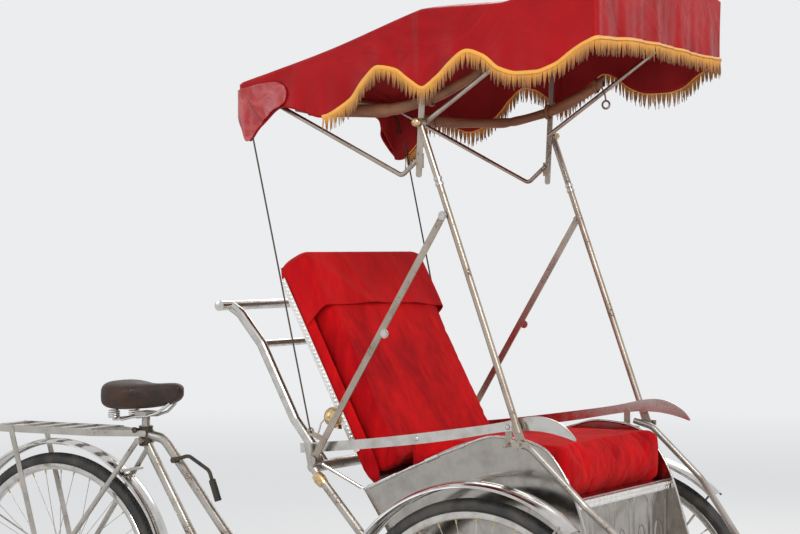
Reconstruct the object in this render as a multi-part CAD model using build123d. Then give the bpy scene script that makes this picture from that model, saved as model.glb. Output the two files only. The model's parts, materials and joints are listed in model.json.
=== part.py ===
from build123d import *
import math
import os

# Cycle rickshaw with the passenger's seat in front, in millimetres.
# Everything is drawn from the front axle: X forward, Y to the left, Z up from the floor.
# The whole model is then moved along X so that its origin is under the middle of its length.

# Wheels, all three alike
WHEEL_R = 330
TYRE_HALF_BEAD = 13
TYRE_HALF = 18
TREAD_HALF = 8
TYRE_DEPTH = 28
RIM_R = WHEEL_R - TYRE_DEPTH
RIM_SEAT_R = RIM_R - 6
RIM_LIP = 3
RIM_DEPTH = 18
SPOKES = 36
SPOKE_R = 1.1
SPOKE_LEAN = 52
HUB_R = 15
HUB_HALF = 30
FLANGE_R = 29
FLANGE_Y = 23
FLANGE_T = 3
RUNNING_GAP = 0.3

# Width of the cabin, which the wheels, seat, panels and hood follow
RAIL_R = 10
RAIL_Y = 345
RAIL_TO_WHEEL = 75
RAIL_TO_HOOD = 5
RAIL_TO_PUSH = 60

# Where the wheels and bearings stand
TRACK_HALF = RAIL_Y + RAIL_TO_WHEEL
REAR_AXLE_X = -1490
REAR_AXLE_R = 6
REAR_AXLE_HALF = 94
DROPOUT_Y = 66
FRONT_STUB_R = 8
FRONT_AXLE_R = 14
FRONT_AXLE_HALF = TRACK_HALF - HUB_HALF - 6
KINGPIN_X = -110
KINGPIN_R = 14
CRANK_Z = 300

# Mudguards
GUARD_R = WHEEL_R + 39
GUARD_T = 1.5
FRONT_GUARD_HALF = 35
REAR_GUARD_HALF = 29
REAR_GUARD_END = 168

# Rear frame tubes, with the carrier just above the mudguard and the saddle above both
TUBE_R = 13
STAY_R = 8
SEAT_LUG_X = -1205
SEAT_LUG_R = 17
CARRIER_Z = WHEEL_R + GUARD_R + 17
SEAT_LUG_TOP = CARRIER_Z + 29
SADDLE_Z = SEAT_LUG_TOP + 41
MAIN_TUBE_Z = 346
LOWER_TUBE_Z = 302
SHELL_R = 21
SHELL_HALF = 34

# Drive
PITCH = 12.7
RING_TEETH = 44
SPROCKET_TEETH = 28
CHAIN_LINKS = 120
CHAIN_Y = -44
CHAIN_ROLLER_R = 3.6
TOOTH_CLEAR = 1
TOOTH_DEPTH = 3.5
CHAIN_PLATE_H = 8.5
CRANK_LENGTH = 170
CRANK_ARM_Y = 58

# Cabin
BASE_Z = 440
BASE_HALF = 240
PANEL_T = 1.2
RAIL_TO_PANEL = 65
PANEL_Y = RAIL_Y - RAIL_TO_PANEL
SEAT_HALF = PANEL_Y - 8.5
SEAT_FRONT_X = 165
SEAT_PAN_Z = 640
CUSHION_TOP_Z = 768
BACK_LEAN = 27.3
BACK_FOOT = (-270, SEAT_PAN_Z + 46)
BACK_LENGTH = 592
BACK_HALF = PANEL_Y + 10
BACK_THICK = 70
BOARD_T = 8
ARM_Y = RAIL_Y - 14
ARM_T = 4
ARM_H = 23
PUSH_Y = RAIL_Y - RAIL_TO_PUSH
PUSH_R = 12.5
FOOT_X = 560
FOOT_Z = 300
FOOT_HALF = 185
FOOT_DEPTH = 190
DECK_CLEAR = 7

# Hood
HOOD_PIVOT = (-462, 717)
HOOD_Y = RAIL_Y + RAIL_TO_HOOD
STRUT_R = 8
STRUT_FOOT = (80, 778)
STRUT_JOINT = (-116, 1289)
STRUT_TOP = (-181, 1502)
STAY_W = 16
STAY_T = 4
STAY_Y = HOOD_Y + STRUT_R
BOW_R = 5.5
CANOPY_HALF = HOOD_Y + 25
CANOPY_T = 2.5
CANOPY_CROWN = 36
BALL_R = 10.5
PIN_R = 4
CURTAIN_R = 14
CURTAIN_Y = HOOD_Y - 42

# The chain's link count sets how far the crank stands from the rear axle
SPARE_LINKS = 2 * CHAIN_LINKS - RING_TEETH - SPROCKET_TEETH
TOOTH_STEP = (RING_TEETH - SPROCKET_TEETH) / math.pi
CENTRES = PITCH / 8 * (SPARE_LINKS + math.sqrt(SPARE_LINKS ** 2 - 8 * TOOTH_STEP ** 2))
CRANK_X = REAR_AXLE_X + math.sqrt(CENTRES ** 2 - (WHEEL_R - CRANK_Z) ** 2)

X_BACK = REAR_AXLE_X + GUARD_R * math.cos(math.radians(REAR_GUARD_END))
X_FRONT = FOOT_X + RAIL_R
ORIGIN_SHIFT = -(X_BACK + X_FRONT) / 2


def save(node, *pieces):
    """Write one named piece, moved so that the origin is under the middle."""
    solids = []
    for piece in pieces:
        solids.extend(piece.solids())
    shape = solids[0] if len(solids) == 1 else Compound(children=solids)
    export_step(Pos(ORIGIN_SHIFT, 0, 0) * shape, f"parts/{node}.step")


def both(piece):
    """The piece and its mirror image across the middle plane."""
    return [piece, mirror(piece, about=Plane.XZ)]


def rod(points, radius, bend=None):
    """Round bar along straight runs joined by arcs."""
    if bend:
        path = FilletPolyline(*points, radius=bend)
    else:
        path = Polyline(*points)
    return sweep(Plane(origin=path @ 0, z_dir=path % 0) * Circle(radius), path=path)


def side_rod(points, y, radius, bend=None):
    """Round bar in a plane of constant Y, from X and Z pairs."""
    return rod([(x, y, z) for x, z in points], radius, bend)


def axle_piece(x, z, radius, y_from, y_to):
    """Cylinder along Y."""
    start = Plane(origin=(x, y_from, z), x_dir=(1, 0, 0), z_dir=(0, 1, 0))
    return Solid.make_cylinder(radius, y_to - y_from, start)


def side_plate(outline, y_from, y_to):
    """Flat plate cut to an XZ outline, from one Y to the other."""
    sketch = Plane.XZ * make_face(outline)
    return Pos(0, y_to, 0) * extrude(sketch, amount=y_to - y_from)


def flat_bar(start, end, width, y_from, y_to):
    """Flat bar with round ends between two XZ points."""
    dx, dz = end[0] - start[0], end[1] - start[1]
    middle = ((start[0] + end[0]) / 2, (start[1] + end[1]) / 2)
    slot = SlotCenterToCenter(math.hypot(dx, dz), width)
    placed = Pos(middle[0], middle[1]) * Rot(0, 0, math.degrees(math.atan2(dz, dx))) * slot
    return Pos(0, y_to, 0) * extrude(Plane.XZ * placed, amount=y_to - y_from)


def at_wheel(x, y, *pieces):
    """Move pieces drawn round the Y axis to a wheel's place."""
    return [Pos(x, y, WHEEL_R) * piece for piece in pieces]


def tyre():
    """Round tyre that seats between the rim's lips."""
    bead = TYRE_HALF_BEAD
    belly_r = RIM_R + 0.45 * (WHEEL_R - RIM_R)
    half = [(RIM_SEAT_R, bead), (RIM_R + 1, bead), (belly_r, TYRE_HALF), (WHEEL_R, TREAD_HALF)]
    outline = Polyline(*half, *[(radius, -y) for radius, y in reversed(half)], close=True)
    return revolve(make_face(outline), axis=Axis.Y)


def rim():
    """Box rim with two lips."""
    bead = TYRE_HALF_BEAD
    lip = bead + RIM_LIP
    foot = RIM_R - RIM_DEPTH
    outline = Polyline(
        (RIM_R, -lip), (RIM_R, -bead), (RIM_SEAT_R, -bead), (RIM_SEAT_R, bead), (RIM_R, bead), (RIM_R, lip),
        (foot, bead - 4), (foot, 4 - bead), close=True)
    return revolve(make_face(outline), axis=Axis.Y)


def hub(bore_r):
    """Hub shell with two spoke flanges, bored for its axle."""
    shell = Solid.make_cylinder(HUB_R, 2 * HUB_HALF, Plane(origin=(0, -HUB_HALF, 0), z_dir=(0, 1, 0)))
    for side in (-1, 1):
        start = side * FLANGE_Y - FLANGE_T / 2
        shell += Solid.make_cylinder(FLANGE_R, FLANGE_T, Plane(origin=(0, start, 0), z_dir=(0, 1, 0)))
    bore = Solid.make_cylinder(bore_r, 4 * HUB_HALF, Plane(origin=(0, -2 * HUB_HALF, 0), z_dir=(0, 1, 0)))
    return shell - bore


def spoked_wheel(bore_r):
    """Rim, hub and crossed wire spokes in one piece."""
    wheel = rim() + hub(bore_r)
    hub_r = FLANGE_R - 3
    rim_r = RIM_R - RIM_DEPTH + 2
    wires = []
    for i in range(SPOKES):
        side = 1 if i % 2 else -1
        lean = SPOKE_LEAN if i % 4 < 2 else -SPOKE_LEAN
        rim_angle = math.radians(360 * i / SPOKES)
        hub_angle = rim_angle + math.radians(lean)
        inner = Vector(hub_r * math.cos(hub_angle), side * FLANGE_Y, hub_r * math.sin(hub_angle))
        outer = Vector(rim_r * math.cos(rim_angle), side * 3, rim_r * math.sin(rim_angle))
        wire = outer - inner
        section = Plane(origin=inner, z_dir=wire) * RegularPolygon(SPOKE_R, 3)
        wires.append(extrude(section, amount=wire.length))
    return wheel.fuse(*wires)


def mudguard(half_width, from_deg, to_deg):
    """Curved strip round the wheel's axis, with lips turned down at its edges."""
    rise = 7
    lip = GUARD_R - rise - 6
    crown = half_width * 0.45
    inner_half = half_width - GUARD_T
    outer = [(lip, half_width), (GUARD_R - rise, half_width), (GUARD_R, crown)]
    inner = [(GUARD_R - GUARD_T, crown), (GUARD_R - rise - GUARD_T, inner_half), (lip, inner_half)]
    side = outer + [(radius, -y) for radius, y in reversed(outer)]
    back = [(radius, -y) for radius, y in reversed(inner)] + inner
    section = make_face(Polyline(*side, *back, close=True))
    return Rot(0, -to_deg, 0) * revolve(section, axis=Axis.Y, revolution_arc=to_deg - from_deg)


def toothed_disc(teeth, thickness, bore_r):
    """Chain wheel that turns just inside the rollers, with a tooth between each two of them."""
    pitch_r = PITCH / 2 / math.sin(math.pi / teeth)
    tip_r = pitch_r - CHAIN_ROLLER_R - TOOTH_CLEAR
    root_r = tip_r - TOOTH_DEPTH
    share = math.pi / teeth
    outline = []
    for i in range(teeth):
        middle = 2 * i * share + share
        for radius, offset in ((root_r, -0.62), (tip_r, -0.22), (tip_r, 0.22), (root_r, 0.62)):
            angle = middle + offset * share
            outline.append((radius * math.cos(angle), radius * math.sin(angle)))
    disc = Pos(0, 0, -thickness / 2) * extrude(make_face(Polyline(*outline, close=True)), amount=thickness)
    return disc - Cylinder(bore_r, thickness)


os.makedirs("parts", exist_ok=True)

# Wheels
front_wheel = spoked_wheel(FRONT_STUB_R + RUNNING_GAP)
rear_wheel = spoked_wheel(REAR_AXLE_R + RUNNING_GAP)
one_tyre = tyre()
save("front_left_tyre", *at_wheel(0, TRACK_HALF, one_tyre))
save("front_left_wheel", *at_wheel(0, TRACK_HALF, front_wheel))
save("front_right_tyre", *at_wheel(0, -TRACK_HALF, one_tyre))
save("front_right_wheel", *at_wheel(0, -TRACK_HALF, front_wheel))
save("rear_tyre", *at_wheel(REAR_AXLE_X, 0, one_tyre))
save("rear_wheel", *at_wheel(REAR_AXLE_X, 0, rear_wheel))

# Chain line, from the sprocket's pitch circle to the chainring's
ring_pitch_r = PITCH / 2 / math.sin(math.pi / RING_TEETH)
sprocket_pitch_r = PITCH / 2 / math.sin(math.pi / SPROCKET_TEETH)
tilt = math.atan2(CRANK_Z - WHEEL_R, CRANK_X - REAR_AXLE_X)
taper = math.asin((ring_pitch_r - sprocket_pitch_r) / CENTRES)


def chain_loop(spread):
    """Closed outline of the chain, this much outside its pitch line."""
    ring_r = ring_pitch_r + spread
    rear_r = sprocket_pitch_r + spread
    up = math.pi / 2 + taper + tilt
    down = -math.pi / 2 - taper + tilt

    def on(x, z, radius, angle):
        return (x + radius * math.cos(angle), z + radius * math.sin(angle))

    rear_top = on(REAR_AXLE_X, WHEEL_R, rear_r, up)
    rear_low = on(REAR_AXLE_X, WHEEL_R, rear_r, down)
    rear_end = on(REAR_AXLE_X, WHEEL_R, rear_r, tilt + math.pi)
    ring_top = on(CRANK_X, CRANK_Z, ring_r, up)
    ring_low = on(CRANK_X, CRANK_Z, ring_r, down)
    ring_end = on(CRANK_X, CRANK_Z, ring_r, tilt)
    return [Line(rear_top, ring_top), ThreePointArc(ring_top, ring_end, ring_low),
            Line(ring_low, rear_low), ThreePointArc(rear_low, rear_end, rear_top)]


pitch_line = Wire(chain_loop(0))
roller_half = 2.4
plate_t = 1.0
chain_parts = []
for side in (-1, 1):
    y_from = CHAIN_Y + (roller_half if side > 0 else -roller_half - plate_t)
    band = side_plate(chain_loop(CHAIN_PLATE_H / 2), y_from, y_from + plate_t)
    chain_parts.append(band - side_plate(chain_loop(-CHAIN_PLATE_H / 2), y_from, y_from + plate_t))
rollers = []
for i in range(CHAIN_LINKS):
    spot = pitch_line @ (i / CHAIN_LINKS)
    along = pitch_line % (i / CHAIN_LINKS)
    turned = Rot(0, 0, math.degrees(math.atan2(along.Y, along.X)))
    section = Plane.XZ * Pos(spot.X, spot.Y) * turned * Rectangle(1.6 * CHAIN_ROLLER_R, 1.6 * CHAIN_ROLLER_R)
    rollers.append(Pos(0, CHAIN_Y + roller_half, 0) * extrude(section, amount=2 * roller_half))
save("chain", chain_parts[0].fuse(chain_parts[1], *rollers))


def chain_wheel(teeth, x, z, bore_r):
    """Chain wheel turned so that a gap meets the first roller on it."""
    top_run = chain_loop(0)[0]
    step = pitch_line.length / CHAIN_LINKS
    if x == CRANK_X:
        start = top_run @ 1
        ahead = math.ceil(top_run.length / step) * step - top_run.length
    else:
        start = top_run @ 0
        ahead = 0
    pitch_r = PITCH / 2 / math.sin(math.pi / teeth)
    angle = math.degrees(math.atan2(start.Y - z, start.X - x) - ahead / pitch_r)
    wheel = Rot(0, 0, angle) * toothed_disc(teeth, 2.4, bore_r)
    return Pos(x, CHAIN_Y, z) * Rot(90, 0, 0) * wheel


sprocket = chain_wheel(SPROCKET_TEETH, REAR_AXLE_X, WHEEL_R, HUB_R - 2)
sprocket_sleeve = axle_piece(REAR_AXLE_X, WHEEL_R, HUB_R + 3, CHAIN_Y - 1.2, -HUB_HALF)
sleeve_bore = axle_piece(REAR_AXLE_X, WHEEL_R, REAR_AXLE_R + RUNNING_GAP, CHAIN_Y - 2, -HUB_HALF + 1)
save("rear_sprocket", sprocket + (sprocket_sleeve - sleeve_bore))

# Crank with its chainring, arms and spindle
spindle_r = 8
arm_t = 12
arm_w = 24
ring = chain_wheel(RING_TEETH, CRANK_X, CRANK_Z, 62)
spider = []
for i in range(5):
    angle = math.radians(72 * i + 18)
    tip = (CRANK_X + 66 * math.cos(angle), CRANK_Z + 66 * math.sin(angle))
    spider.append(flat_bar((CRANK_X, CRANK_Z), tip, 14, CHAIN_Y - 2, CHAIN_Y + 2))
boss = axle_piece(CRANK_X, CRANK_Z, 20, -CRANK_ARM_Y - arm_t, CHAIN_Y + 2)
spindle = axle_piece(CRANK_X, CRANK_Z, spindle_r, -CRANK_ARM_Y, CRANK_ARM_Y)
right_tip = (CRANK_X + CRANK_LENGTH, CRANK_Z)
left_tip = (CRANK_X - CRANK_LENGTH, CRANK_Z)
right_arm = flat_bar((CRANK_X, CRANK_Z), right_tip, arm_w, -CRANK_ARM_Y - arm_t, -CRANK_ARM_Y)
left_arm = flat_bar((CRANK_X, CRANK_Z), left_tip, arm_w, CRANK_ARM_Y, CRANK_ARM_Y + arm_t)
save("crankset", ring.fuse(*spider, boss, spindle, right_arm, left_arm))

pedal_half = 42
pedal_w = 90
pedals = []
for (x, z), side in ((right_tip, -1), (left_tip, 1)):
    inner = side * (CRANK_ARM_Y + arm_t)
    outer = inner + side * (pedal_w + 8)
    core = axle_piece(x, z, 7, min(inner, outer), max(inner, outer))
    middle = inner + side * (8 + pedal_w / 2)
    for offset in (-1, 1):
        core += Pos(x + offset * (pedal_half - 11), middle, z) * Box(22, pedal_w, 24)
    for offset in (-1, 1):
        core += Pos(x, middle + offset * (pedal_w / 2 - 2), z) * Box(2 * pedal_half, 4, 18)
    pedals.append(core)
save("pedals", *pedals)

# Rear frame
kingpin_low = 284
sleeve_low = 384
sleeve_high = 474
main_path = [(SEAT_LUG_X, SEAT_LUG_TOP - 23), (-1146, SEAT_LUG_TOP - 33), (-842, MAIN_TUBE_Z),
             (KINGPIN_X, MAIN_TUBE_Z)]
main_tube = rod([(x, 0, z) for x, z in main_path], TUBE_R, 45)
seat_lug = Solid.make_cylinder(SEAT_LUG_R, 55, Plane(origin=(SEAT_LUG_X, 0, SEAT_LUG_TOP - 55)))
kingpin_lug = Solid.make_cylinder(26, 376 - kingpin_low, Plane(origin=(KINGPIN_X, 0, kingpin_low)))
kingpin = Solid.make_cylinder(KINGPIN_R, 500 - kingpin_low, Plane(origin=(KINGPIN_X, 0, kingpin_low)))
nut = extrude(Plane(origin=(KINGPIN_X, 0, sleeve_high + 4)) * RegularPolygon(22, 6), amount=16)
washer = Solid.make_cylinder(21, 5, Plane(origin=(KINGPIN_X, 0, 376)))
shell_solid = axle_piece(CRANK_X, CRANK_Z, SHELL_R, -SHELL_HALF, SHELL_HALF)
shell_bore = axle_piece(CRANK_X, CRANK_Z, spindle_r + RUNNING_GAP, -2 * SHELL_HALF, 2 * SHELL_HALF)
post_r = 11
post_low = SEAT_LUG_TOP - 33
post_bore = Solid.make_cylinder(post_r, 60, Plane(origin=(SEAT_LUG_X, 0, post_low)))
spine = main_tube.fuse(seat_lug, kingpin_lug, kingpin, nut, washer) - post_bore
save("main_tube", spine)
lower_path = [(CRANK_X, LOWER_TUBE_Z), (KINGPIN_X, LOWER_TUBE_Z)]
lower_tube = side_rod(lower_path, 0, TUBE_R)
save("lower_tube", lower_tube.fuse(shell_solid) - shell_bore - kingpin_lug)
seat_tube = side_rod([(SEAT_LUG_X, SEAT_LUG_TOP - 40), (CRANK_X, CRANK_Z)], 0, TUBE_R)
save("seat_tube", seat_tube - seat_lug - shell_solid - main_tube - lower_tube - post_bore)

# Stays and rear axle
stay_start_x = CRANK_X - SHELL_R + 4
stay_end_x = REAR_AXLE_X + 24
stay_start_y = 24
chain_stays = []
for side in (-1, 1):
    start = (stay_start_x, side * stay_start_y, CRANK_Z)
    end = (stay_end_x, side * DROPOUT_Y, WHEEL_R - 1)
    tip = flat_bar((REAR_AXLE_X + 30, WHEEL_R - 1), (REAR_AXLE_X - 4, WHEEL_R), 26,
                   side * DROPOUT_Y - 3, side * DROPOUT_Y + 3)
    chain_stays.append(rod([start, end], STAY_R).fuse(tip) - shell_solid)
stay_bridge_x = REAR_AXLE_X + 378
bridge_share = (stay_start_x - stay_bridge_x) / (stay_start_x - stay_end_x)
bridge_short = 5.69
bridge_half = stay_start_y + (DROPOUT_Y - stay_start_y) * bridge_share - bridge_short
bridge = axle_piece(stay_bridge_x, CRANK_Z + 9, 6, -bridge_half, bridge_half)
rear_axle = axle_piece(REAR_AXLE_X, WHEEL_R, REAR_AXLE_R, -REAR_AXLE_HALF, REAR_AXLE_HALF)
chain_stays = chain_stays[0].fuse(chain_stays[1], bridge) - rear_axle
save("chain_stays", chain_stays)
seat_stays = []
seat_stay_y = 36
for side in (-1, 1):
    top = (SEAT_LUG_X - 4, side * seat_stay_y, SEAT_LUG_TOP - 41)
    low = (REAR_AXLE_X + 12, side * DROPOUT_Y, WHEEL_R + 18)
    seat_stays.append(rod([top, low], STAY_R - 1))
cross_pin = axle_piece(SEAT_LUG_X, SEAT_LUG_TOP - 39, 8, -seat_stay_y - 6, seat_stay_y + 6)
rear_guard = at_wheel(REAR_AXLE_X, 0, mudguard(REAR_GUARD_HALF, 8, REAR_GUARD_END))[0]
stay_run = Vector(SEAT_LUG_X - REAR_AXLE_X - 16, SEAT_LUG_TOP - 41 - WHEEL_R - 18).normalized()
bridge_r = GUARD_R + 3
bridge_x, bridge_z = REAR_AXLE_X + 14 + bridge_r * stay_run.X, WHEEL_R + bridge_r * stay_run.Y
guard_bridge = axle_piece(bridge_x, bridge_z, 5, -46, 46)
stays = seat_stays[0].fuse(seat_stays[1], cross_pin, guard_bridge)
save("seat_stays", stays - seat_lug - seat_tube - main_tube - chain_stays - rear_guard)
nuts = []
for side in (-1, 1):
    y = side * (REAR_AXLE_HALF - 7)
    nuts.append(axle_piece(REAR_AXLE_X, WHEEL_R, 11, y - 3.5, y + 3.5))
save("rear_axle", rear_axle.fuse(*nuts))

# Seat post, springs and saddle
post = Solid.make_cylinder(post_r, SADDLE_Z - 14 - post_low, Plane(origin=(SEAT_LUG_X, 0, post_low)))
clamp = Pos(SEAT_LUG_X, 0, SADDLE_Z - 10) * Box(34, 52, 14)
save("seat_post", post + clamp)
spring_x = -1282
springs = []
for y in (-45, 45):
    coil = Solid.make_cylinder(17, 30, Plane(origin=(spring_x, y, SADDLE_Z - 24)))
    wire_path = [(spring_x, SADDLE_Z - 20), (SEAT_LUG_X - 40, SADDLE_Z - 26), (-1118, SADDLE_Z)]
    wire = side_rod(wire_path, y * 0.5, 4, 20)
    foot = Pos(spring_x, y * 0.75, SADDLE_Z - 20) * Box(8, 30, 8)
    springs.append(coil.fuse(wire, foot))
save("saddle_springs", *[spring - clamp - post for spring in springs])
half = [(-1324, 66), (-1298, 98), (-1250, 92), (-1190, 46), (-1105, 26)]
outline = Polyline(*half, (-1085, 0), *[(x, -y) for x, y in reversed(half)], close=True)
saddle = extrude(Plane(origin=(0, 0, SADDLE_Z + 6)) * make_face(outline), amount=76)
saddle = fillet(saddle.edges().group_by(Axis.Z)[-1], 18)
save("saddle", saddle)

# Rear mudguard, carrier and their stays
save("rear_mudguard", rear_guard)
guard_stays = []
stay_turn = math.radians(150)
stay_lip_r = GUARD_R - 10
eye_y = (77.5, 82.5)
for side in (-1, 1):
    middle_y = side * (eye_y[0] + eye_y[1]) / 2
    ring = axle_piece(REAR_AXLE_X, WHEEL_R, 9, middle_y - 2.5, middle_y + 2.5)
    start = (REAR_AXLE_X, middle_y, WHEEL_R)
    tip = (REAR_AXLE_X + stay_lip_r * math.cos(stay_turn), side * (REAR_GUARD_HALF + 2.7),
           WHEEL_R + stay_lip_r * math.sin(stay_turn))
    guard_stays.append(ring.fuse(rod([start, tip], 2.5)) - rear_axle)
save("rear_guard_stays", *guard_stays)

BOX_BOLT_R = 3.3
BOX_BOLT_Y = 45
carrier_back = -1672
carrier_half = 70
bar_h = 19
bars = []
for side in (-1, 1):
    rail = side_plate(
        Polyline((carrier_back, CARRIER_Z), (-1330, CARRIER_Z), (-1330, CARRIER_Z + bar_h),
                 (carrier_back, CARRIER_Z + bar_h), close=True),
        side * carrier_half - 2, side * carrier_half + 2)
    bars.append(rail)
lug_back, lug_front = SEAT_LUG_X - 12, SEAT_LUG_X + 12
nose = Polyline((-1330, carrier_half - 2), (-1330, carrier_half + 2), (lug_back, SEAT_LUG_R + 4),
                (lug_front, SEAT_LUG_R + 4), (lug_front, SEAT_LUG_R), (lug_back, SEAT_LUG_R), close=True)
noses = both(extrude(Plane(origin=(0, 0, CARRIER_Z)) * make_face(nose), amount=bar_h - 3))
slats = []
for i in range(5):
    x = carrier_back + 20 + i * 74
    slat = Pos(x, 0, CARRIER_Z + bar_h - 2.5) * Box(24, 2 * carrier_half, 5)
    if i in (0, 3):
        for y in (-BOX_BOLT_Y, BOX_BOLT_Y):
            slat -= Pos(x, y, CARRIER_Z + bar_h - 2.5) * Cylinder(BOX_BOLT_R, 6)
    slats.append(slat)
carrier = bars[0].fuse(bars[1], *noses, *slats) - seat_lug
save("carrier", carrier)
carrier_stays = []
for side in (-1, 1):
    y = side * (carrier_half + 2 + 1.5)
    stay = flat_bar((-1600, CARRIER_Z + 8), (REAR_AXLE_X, WHEEL_R), 16, y - 1.5, y + 1.5)
    carrier_stays.append(stay - rear_axle)
save("carrier_stays", *carrier_stays)

# Brake lever on the right of the main tube
lever_y = -2 * TUBE_R
tube_top, tube_foot = main_path[1], main_path[2]
lever_x = tube_top[0] + 50
lever_z = tube_top[1] + 50 * (tube_foot[1] - tube_top[1]) / (tube_foot[0] - tube_top[0]) + 8
lever_tip = (lever_x + 139, lever_z - 99)
lever_path = [(lever_x, lever_z), (lever_x + 46, lever_z + 14), (lever_x + 111, lever_z - 22), lever_tip]
lever = side_rod(lever_path, lever_y, 5, 24)
grip = side_rod([(lever_x + 120, lever_z - 47), lever_tip], lever_y, 9)
pivot = axle_piece(lever_x, lever_z, 8, lever_y - 6, -TUBE_R + 3)
save("brake_lever", lever.fuse(grip, pivot) - main_tube)

# Front axle and springs
beam = axle_piece(0, WHEEL_R, FRONT_AXLE_R, -FRONT_AXLE_HALF, FRONT_AXLE_HALF)
stub_half = TRACK_HALF + HUB_HALF + 26
stub = axle_piece(0, WHEEL_R, FRONT_STUB_R, -stub_half, stub_half)
axle = beam + stub
spring_y = 300
spring_w = 40
for side in (-1, 1):
    y = side * (TRACK_HALF + HUB_HALF + 8)
    axle += axle_piece(0, WHEEL_R, 14, min(y, y + side * 8), max(y, y + side * 8))
    axle += Pos(0, side * spring_y, WHEEL_R + 17) * Box(60, spring_w, 14)
save("front_axle", axle)
leaf_t = 5
leaf_low = WHEEL_R + 24
leaf_rise = BASE_Z - leaf_low - 34
leaves = []
for i, half in enumerate((105, 170, BASE_HALF)):
    z = leaf_low + i * leaf_t
    sag = (half / BASE_HALF) ** 2 * leaf_rise
    arc = ThreePointArc((-half, z + sag), (0, z), (half, z + sag))
    upper = ThreePointArc((half, z + sag + leaf_t), (0, z + leaf_t), (-half, z + sag + leaf_t))
    ends = [Line(arc @ 1, upper @ 0), Line(upper @ 1, arc @ 0)]
    leaf = side_plate([arc, ends[0], upper, ends[1]], spring_y - spring_w / 2, spring_y + spring_w / 2)
    leaves.append(leaf)
spring_pack = leaves[0].fuse(leaves[1], leaves[2])
for end in (-1, 1):
    shackle = Pos(end * BASE_HALF, spring_y, BASE_Z - 16) * Box(16, spring_w, 26)
    spring_pack += shackle
cross_r = 11
cross_tubes = [axle_piece(x, BASE_Z, cross_r, -RAIL_Y, RAIL_Y) for x in (-BASE_HALF, KINGPIN_X, BASE_HALF)]
save("leaf_springs", *both(spring_pack - cross_tubes[0] - cross_tubes[2]))

# Base of the cabin: side rails bent up at the back, cross tubes and kingpin sleeve
rail_bend = (HOOD_PIVOT[0] - 12, HOOD_PIVOT[1] - 17)
rail_top = (HOOD_PIVOT[0] - 22, HOOD_PIVOT[1] + 35)
rail_path = [rail_top, rail_bend, (-BASE_HALF, BASE_Z), (BASE_HALF + 20, BASE_Z)]
rail = side_rod(rail_path, RAIL_Y, RAIL_R, 60)
pivot_pin_r = 6
pivot_pin = axle_piece(*HOOD_PIVOT, pivot_pin_r, RAIL_Y, STAY_Y + STAY_T + 6)
pivot_head = axle_piece(*HOOD_PIVOT, 11, STAY_Y + STAY_T + 2, STAY_Y + STAY_T + 6)
hip = axle_piece(*HOOD_PIVOT, 13, RAIL_Y - RAIL_R, STAY_Y - 1)
rail = rail.fuse(hip, pivot_pin, pivot_head)
save("side_rails", *both(rail))
sleeve_plane = Plane(origin=(KINGPIN_X, 0, sleeve_low))
sleeve = Solid.make_cylinder(24, sleeve_high - sleeve_low, sleeve_plane)
sleeve_bore_at = Plane(origin=(KINGPIN_X, 0, sleeve_low - 50))
sleeve_bore = Solid.make_cylinder(KINGPIN_R + RUNNING_GAP, 200, sleeve_bore_at)
rear_cross = axle_piece(*rail_bend, PUSH_R + 1, -RAIL_Y, RAIL_Y)
base = (cross_tubes[1] + sleeve) - sleeve_bore
rails = both(rail)
save("kingpin_beam", base - rails[0] - rails[1])
save("cross_tubes", *[tube - rails[0] - rails[1] for tube in (cross_tubes[0], cross_tubes[2], rear_cross)])

# Foot hoops, foot rails and deck
hoop_r = 8
hoop_start_y = HOOD_Y - 7
hoop = rod([(50, hoop_start_y, 783), (98, hoop_start_y, 769), (228, hoop_start_y, 648),
            (FOOT_X - 55, FOOT_HALF + 6, FOOT_Z + 52), (FOOT_X, FOOT_HALF + 6, FOOT_Z)], hoop_r, 36)
front_bar = axle_piece(FOOT_X, FOOT_Z, RAIL_R, -FOOT_HALF - 14, FOOT_HALF + 14)
save("foot_hoops", *[piece - front_bar for piece in both(hoop)])
foot_rail_path = [(BASE_HALF + 20, RAIL_Y, BASE_Z), (BASE_HALF + 40, RAIL_Y, BASE_Z),
                  (FOOT_X - FOOT_DEPTH, FOOT_HALF - 20, FOOT_Z), (FOOT_X, FOOT_HALF - 20, FOOT_Z)]
foot_rail = rod(foot_rail_path, RAIL_R - 1, 12)
save("foot_rails", *[piece - front_bar for piece in both(foot_rail)])
save("foot_bar", front_bar)
deck_back = FOOT_X - FOOT_DEPTH + 34
deck_front = FOOT_X - RAIL_R - 1
deck = Pos((deck_back + deck_front) / 2, 0, FOOT_Z + RAIL_R + 1) * Box(
    deck_front - deck_back, 2 * (FOOT_HALF - DECK_CLEAR), 4)
save("foot_deck", deck)

# Side panels with a rolled edge
panel_top = [(-370, 646), (-240, 705), (-20, 785), (100, 762), (140, 720)]
top_curve = Spline(*panel_top)
panel_low = BASE_Z + cross_r + 0.3
panel_ends = [(182, SEAT_PAN_Z), (BASE_HALF, panel_low), (-BASE_HALF, panel_low)]
panel_rest = Polyline(panel_top[-1], *panel_ends, panel_top[0])
panel = side_plate([top_curve, panel_rest], PANEL_Y, PANEL_Y + PANEL_T)
save("side_panels", *both(panel))

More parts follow.
